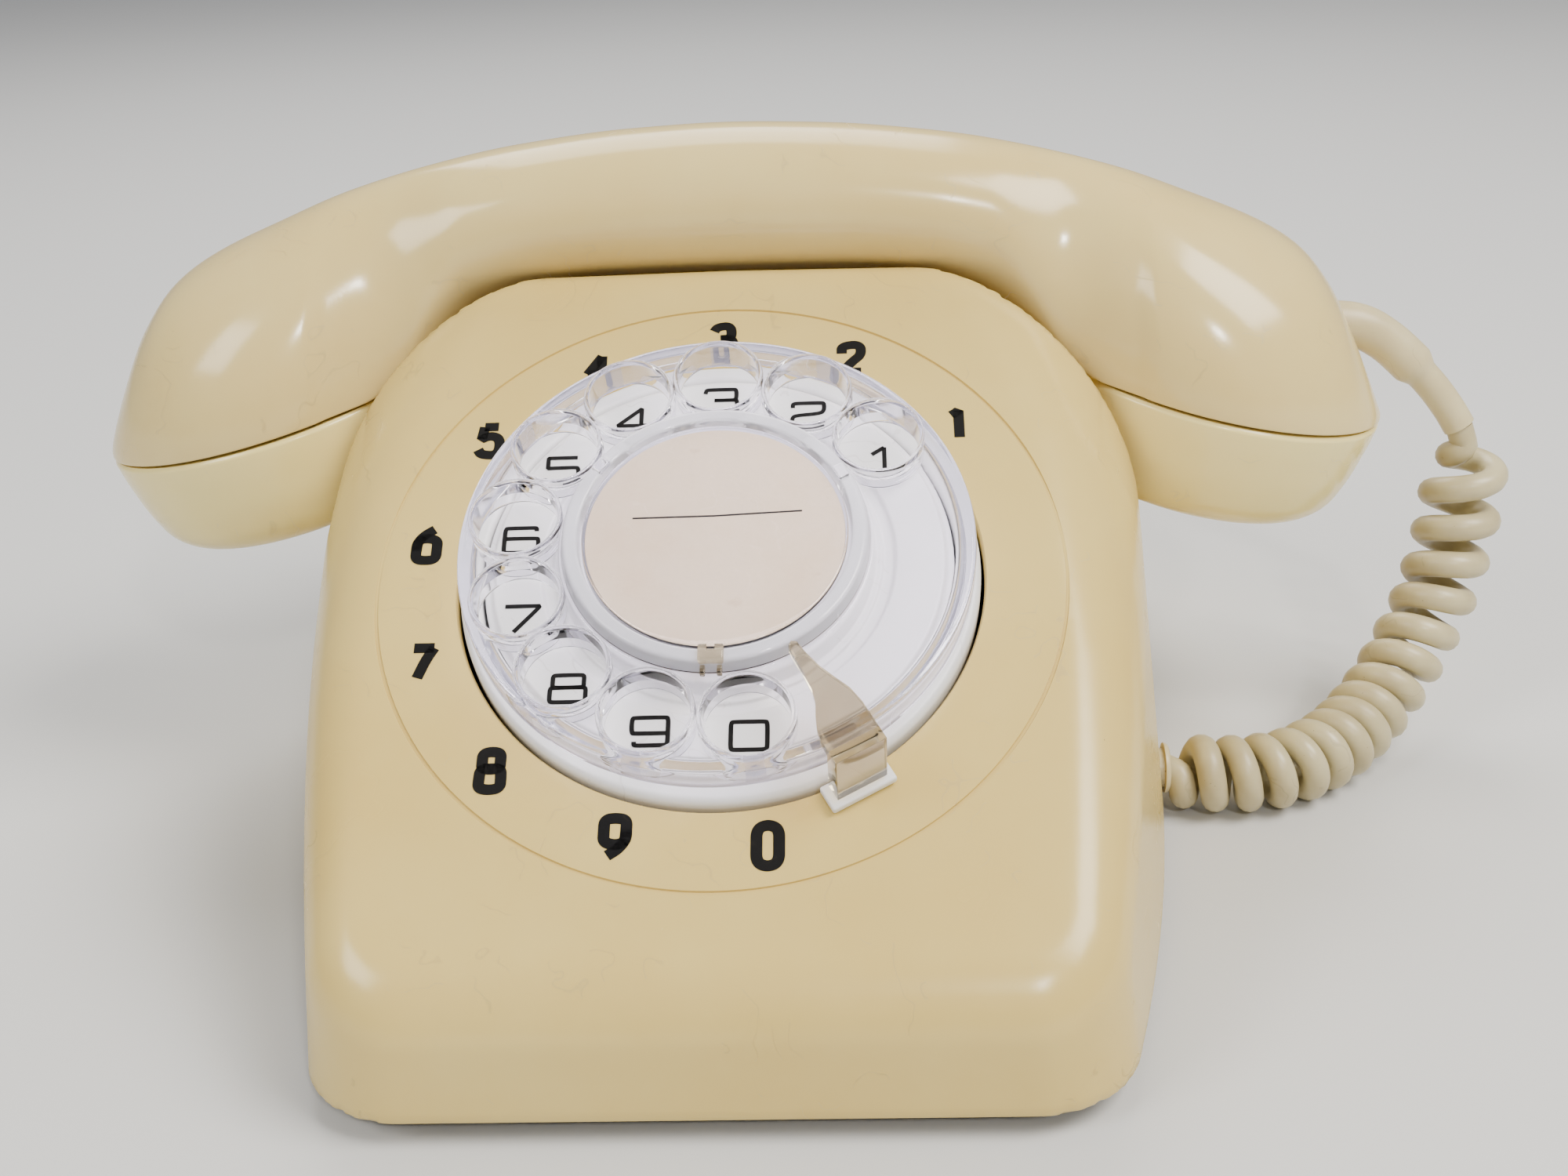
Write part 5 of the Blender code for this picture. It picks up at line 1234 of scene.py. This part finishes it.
wheelPiece = buildWheel()
clipPiece = buildClip()
platePiece, rimPiece = buildPlate()
outerDigits = buildDigits("outerDigits", boldDigits, {
    "radius": 47.2, "tall": 5.4, "stroke": 1.72, "wide": 1.0, "height": 0.02, "raised": 0.06})
innerDigits = buildDigits("innerDigits", thinDigits, {
    "radius": 31.2, "tall": 4.6, "stroke": 0.70, "wide": 1.45, "height": 3.78, "raised": 0.06})
cardPiece, coverPiece, rulePiece = buildHub()
stopPiece, seatPiece = buildStop()
print("dial built", len(wheelPiece.data.polygons))


footSize = {"front": (44.0, -86.0), "rear": (60.0, 86.0), "radius": 8.0, "high": 4.0, "ribs": 28}


def buildFeet():
    feet = []
    r, high = footSize["radius"], footSize["high"]
    for side, tag in ((-1, "Left"), (1, "Right")):
        for end in ("front", "rear"):
            x, y = footSize[end]
            outline = roundedProfile([
                (0, 0.5, 0), (r - 2.6, 0.5, 0.1), (r - 2.3, 0.0, 0.2), (r - 0.9, 0.0, 0.3),
                (r - 0.45, 0.5, 0.3), (r - 0.35, high, 0), (0, high, 0)], 3)
            foot = lathe("rubberFoot" + end.title() + tag, outline, 56, looks["footRubber"])
            rib = boxMesh("rib", (-0.3, -0.5, 0.9), (0.3, 0.5, 3.6), looks["footRubber"], False)
            alongArc(foot, rib, {"Count": footSize["ribs"], "Radius": (r - 0.75) * mm, "First": 0.0,
                                 "Step": 2 * math.pi / footSize["ribs"], "Material": looks["footRubber"]})
            placed(foot, Matrix.Translation((side * x * mm, y * mm, 0)))
            feet.append((foot, "foot_%s_%s" % (end, tag.lower())))
    return feet


def buildPlungers():
    result = []
    outline = roundedProfile([(0, 69.7, 0), (4.4, 69.7, 0.3), (4.4, 72.3, 0.3), (3.0, 72.3, 0.2),
                              (3.0, 91.2, 1.4), (0, 91.5, 0)], 5)
    for side, tag in ((-1, "Left"), (1, "Right")):
        place = Matrix.Translation((side * openingSize["plungerX"] * mm, handsetY, 0))
        plunger = lathe("cradlePlunger" + tag, outline, 48, looks["caseIvory"], place, 40)
        result.append((plunger, "cradle_plunger_" + tag.lower()))
    return result


def buildGland():
    # a flanged sleeve in the side wall, its face just outside it
    face = 75.3
    along = Matrix.Translation((0, *cordLook["gland"][1:])) @ Matrix.Rotation(math.pi / 2, 4, "Y")
    outline = roundedProfile([
        (2.9, face - 3.2, 0.1), (3.55, face - 3.2, 0.1), (3.55, face - 0.2, 0.1), (4.6, face - 0.2, 0.2),
        (4.3, face + 0.7, 0.4), (2.9, face + 0.9, 0.2)], 4)
    return lathe("cordGland", outline, 48, looks["bootVinyl"], along, 40)


feetPieces = buildFeet()
plungerPieces = buildPlungers()
glandPiece = buildGland()
print("small pieces built")


# the nodes that keep their shape get their finish
carried = {
    "baseBlack": ("base_plate",),
    "footRubber": ("line_cord_inlet",),
    "plateSteel": ("case_screw_left", "case_screw_right", "dial_frame", "mainspring", "governor_cup",
                   "cradle_spring",
                   "hook_switch_bridge", "gong_screw_left", "gong_screw_right", "ringer_yoke", "clapper"),
    "turnedBrass": ("dial_spindle", "spindle_nut", "main_gear", "impulse_pinion", "governor_worm",
                    "governor_weights",
                    "impulse_contact_leaf_1", "impulse_contact_leaf_2", "hook_contact_1", "hook_contact_2"),
    "gongBronze": ("gong_left", "gong_right"),
    "pressedAluminium": ("receiver_capsule", "transmitter_capsule", "speech_capacitor"),
    "brownResin": ("impulse_cam", "impulse_contact_block", "plunger_bar", "hook_lever", "hook_lever_post",
                   "hook_contact_block", "circuit_board", "terminal_block"),
    "woundCopper": ("ringer_coil_left", "ringer_coil_right", "induction_coil"),
}
for look, names in carried.items():
    for name in names:
        mesh = nodes[name].data
        mesh.materials.clear()
        mesh.materials.append(looks[look])

# piece, the body it rides on, its material slot and the nodes it stands for
riders = [
    (casePiece, "case", "ivory_plastic", ("case_shell",)),
    (platePiece, "case", "white_plastic", ("number_plate",)),
    (rimPiece, "case", "white_plastic", ("dial_rim",)),
    (outerDigits, "case", "black_base", ()),
    (innerDigits, "case", "black_base", ()),
    (stopPiece, "case", "smoked_acrylic", ("finger_stop",)),
    (seatPiece, "case", "white_plastic", ("finger_stop_socket",)),
    (wheelPiece, "dial", "clear_acrylic", ("finger_wheel",)),
    (cardPiece, "dial", "label_card", ("label_card",)),
    (coverPiece, "dial", "clear_acrylic", ("label_cover",)),
    (clipPiece, "dial", "smoked_acrylic", ("label_clip",)),
    (rulePiece, "dial", "black_base", ()),
    (handlePiece, "handset", "ivory_plastic", ("handset_handle",)),
    (receiverCap, "handset", "ivory_plastic", ("receiver_cap",)),
    (transmitterCap, "handset", "ivory_plastic", ("transmitter_cap",)),
    (bootPiece, "handset", "cord_vinyl", ("cord_boot",)),
    (glandPiece, "case", "cord_vinyl", ("handset_cord_gland",)),
]
riders += [(piece, "case", "black_rubber", (node,)) for piece, node in feetPieces]
riders += [(piece, "cradle", "ivory_plastic", (node,)) for piece, node in plungerPieces]
for piece, body, slot, replaced in riders:
    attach(piece, body)
    if replaced:
        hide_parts(*replaced)

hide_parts("handset_cord")
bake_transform(cordPiece)
print("pieces tied to their bodies")
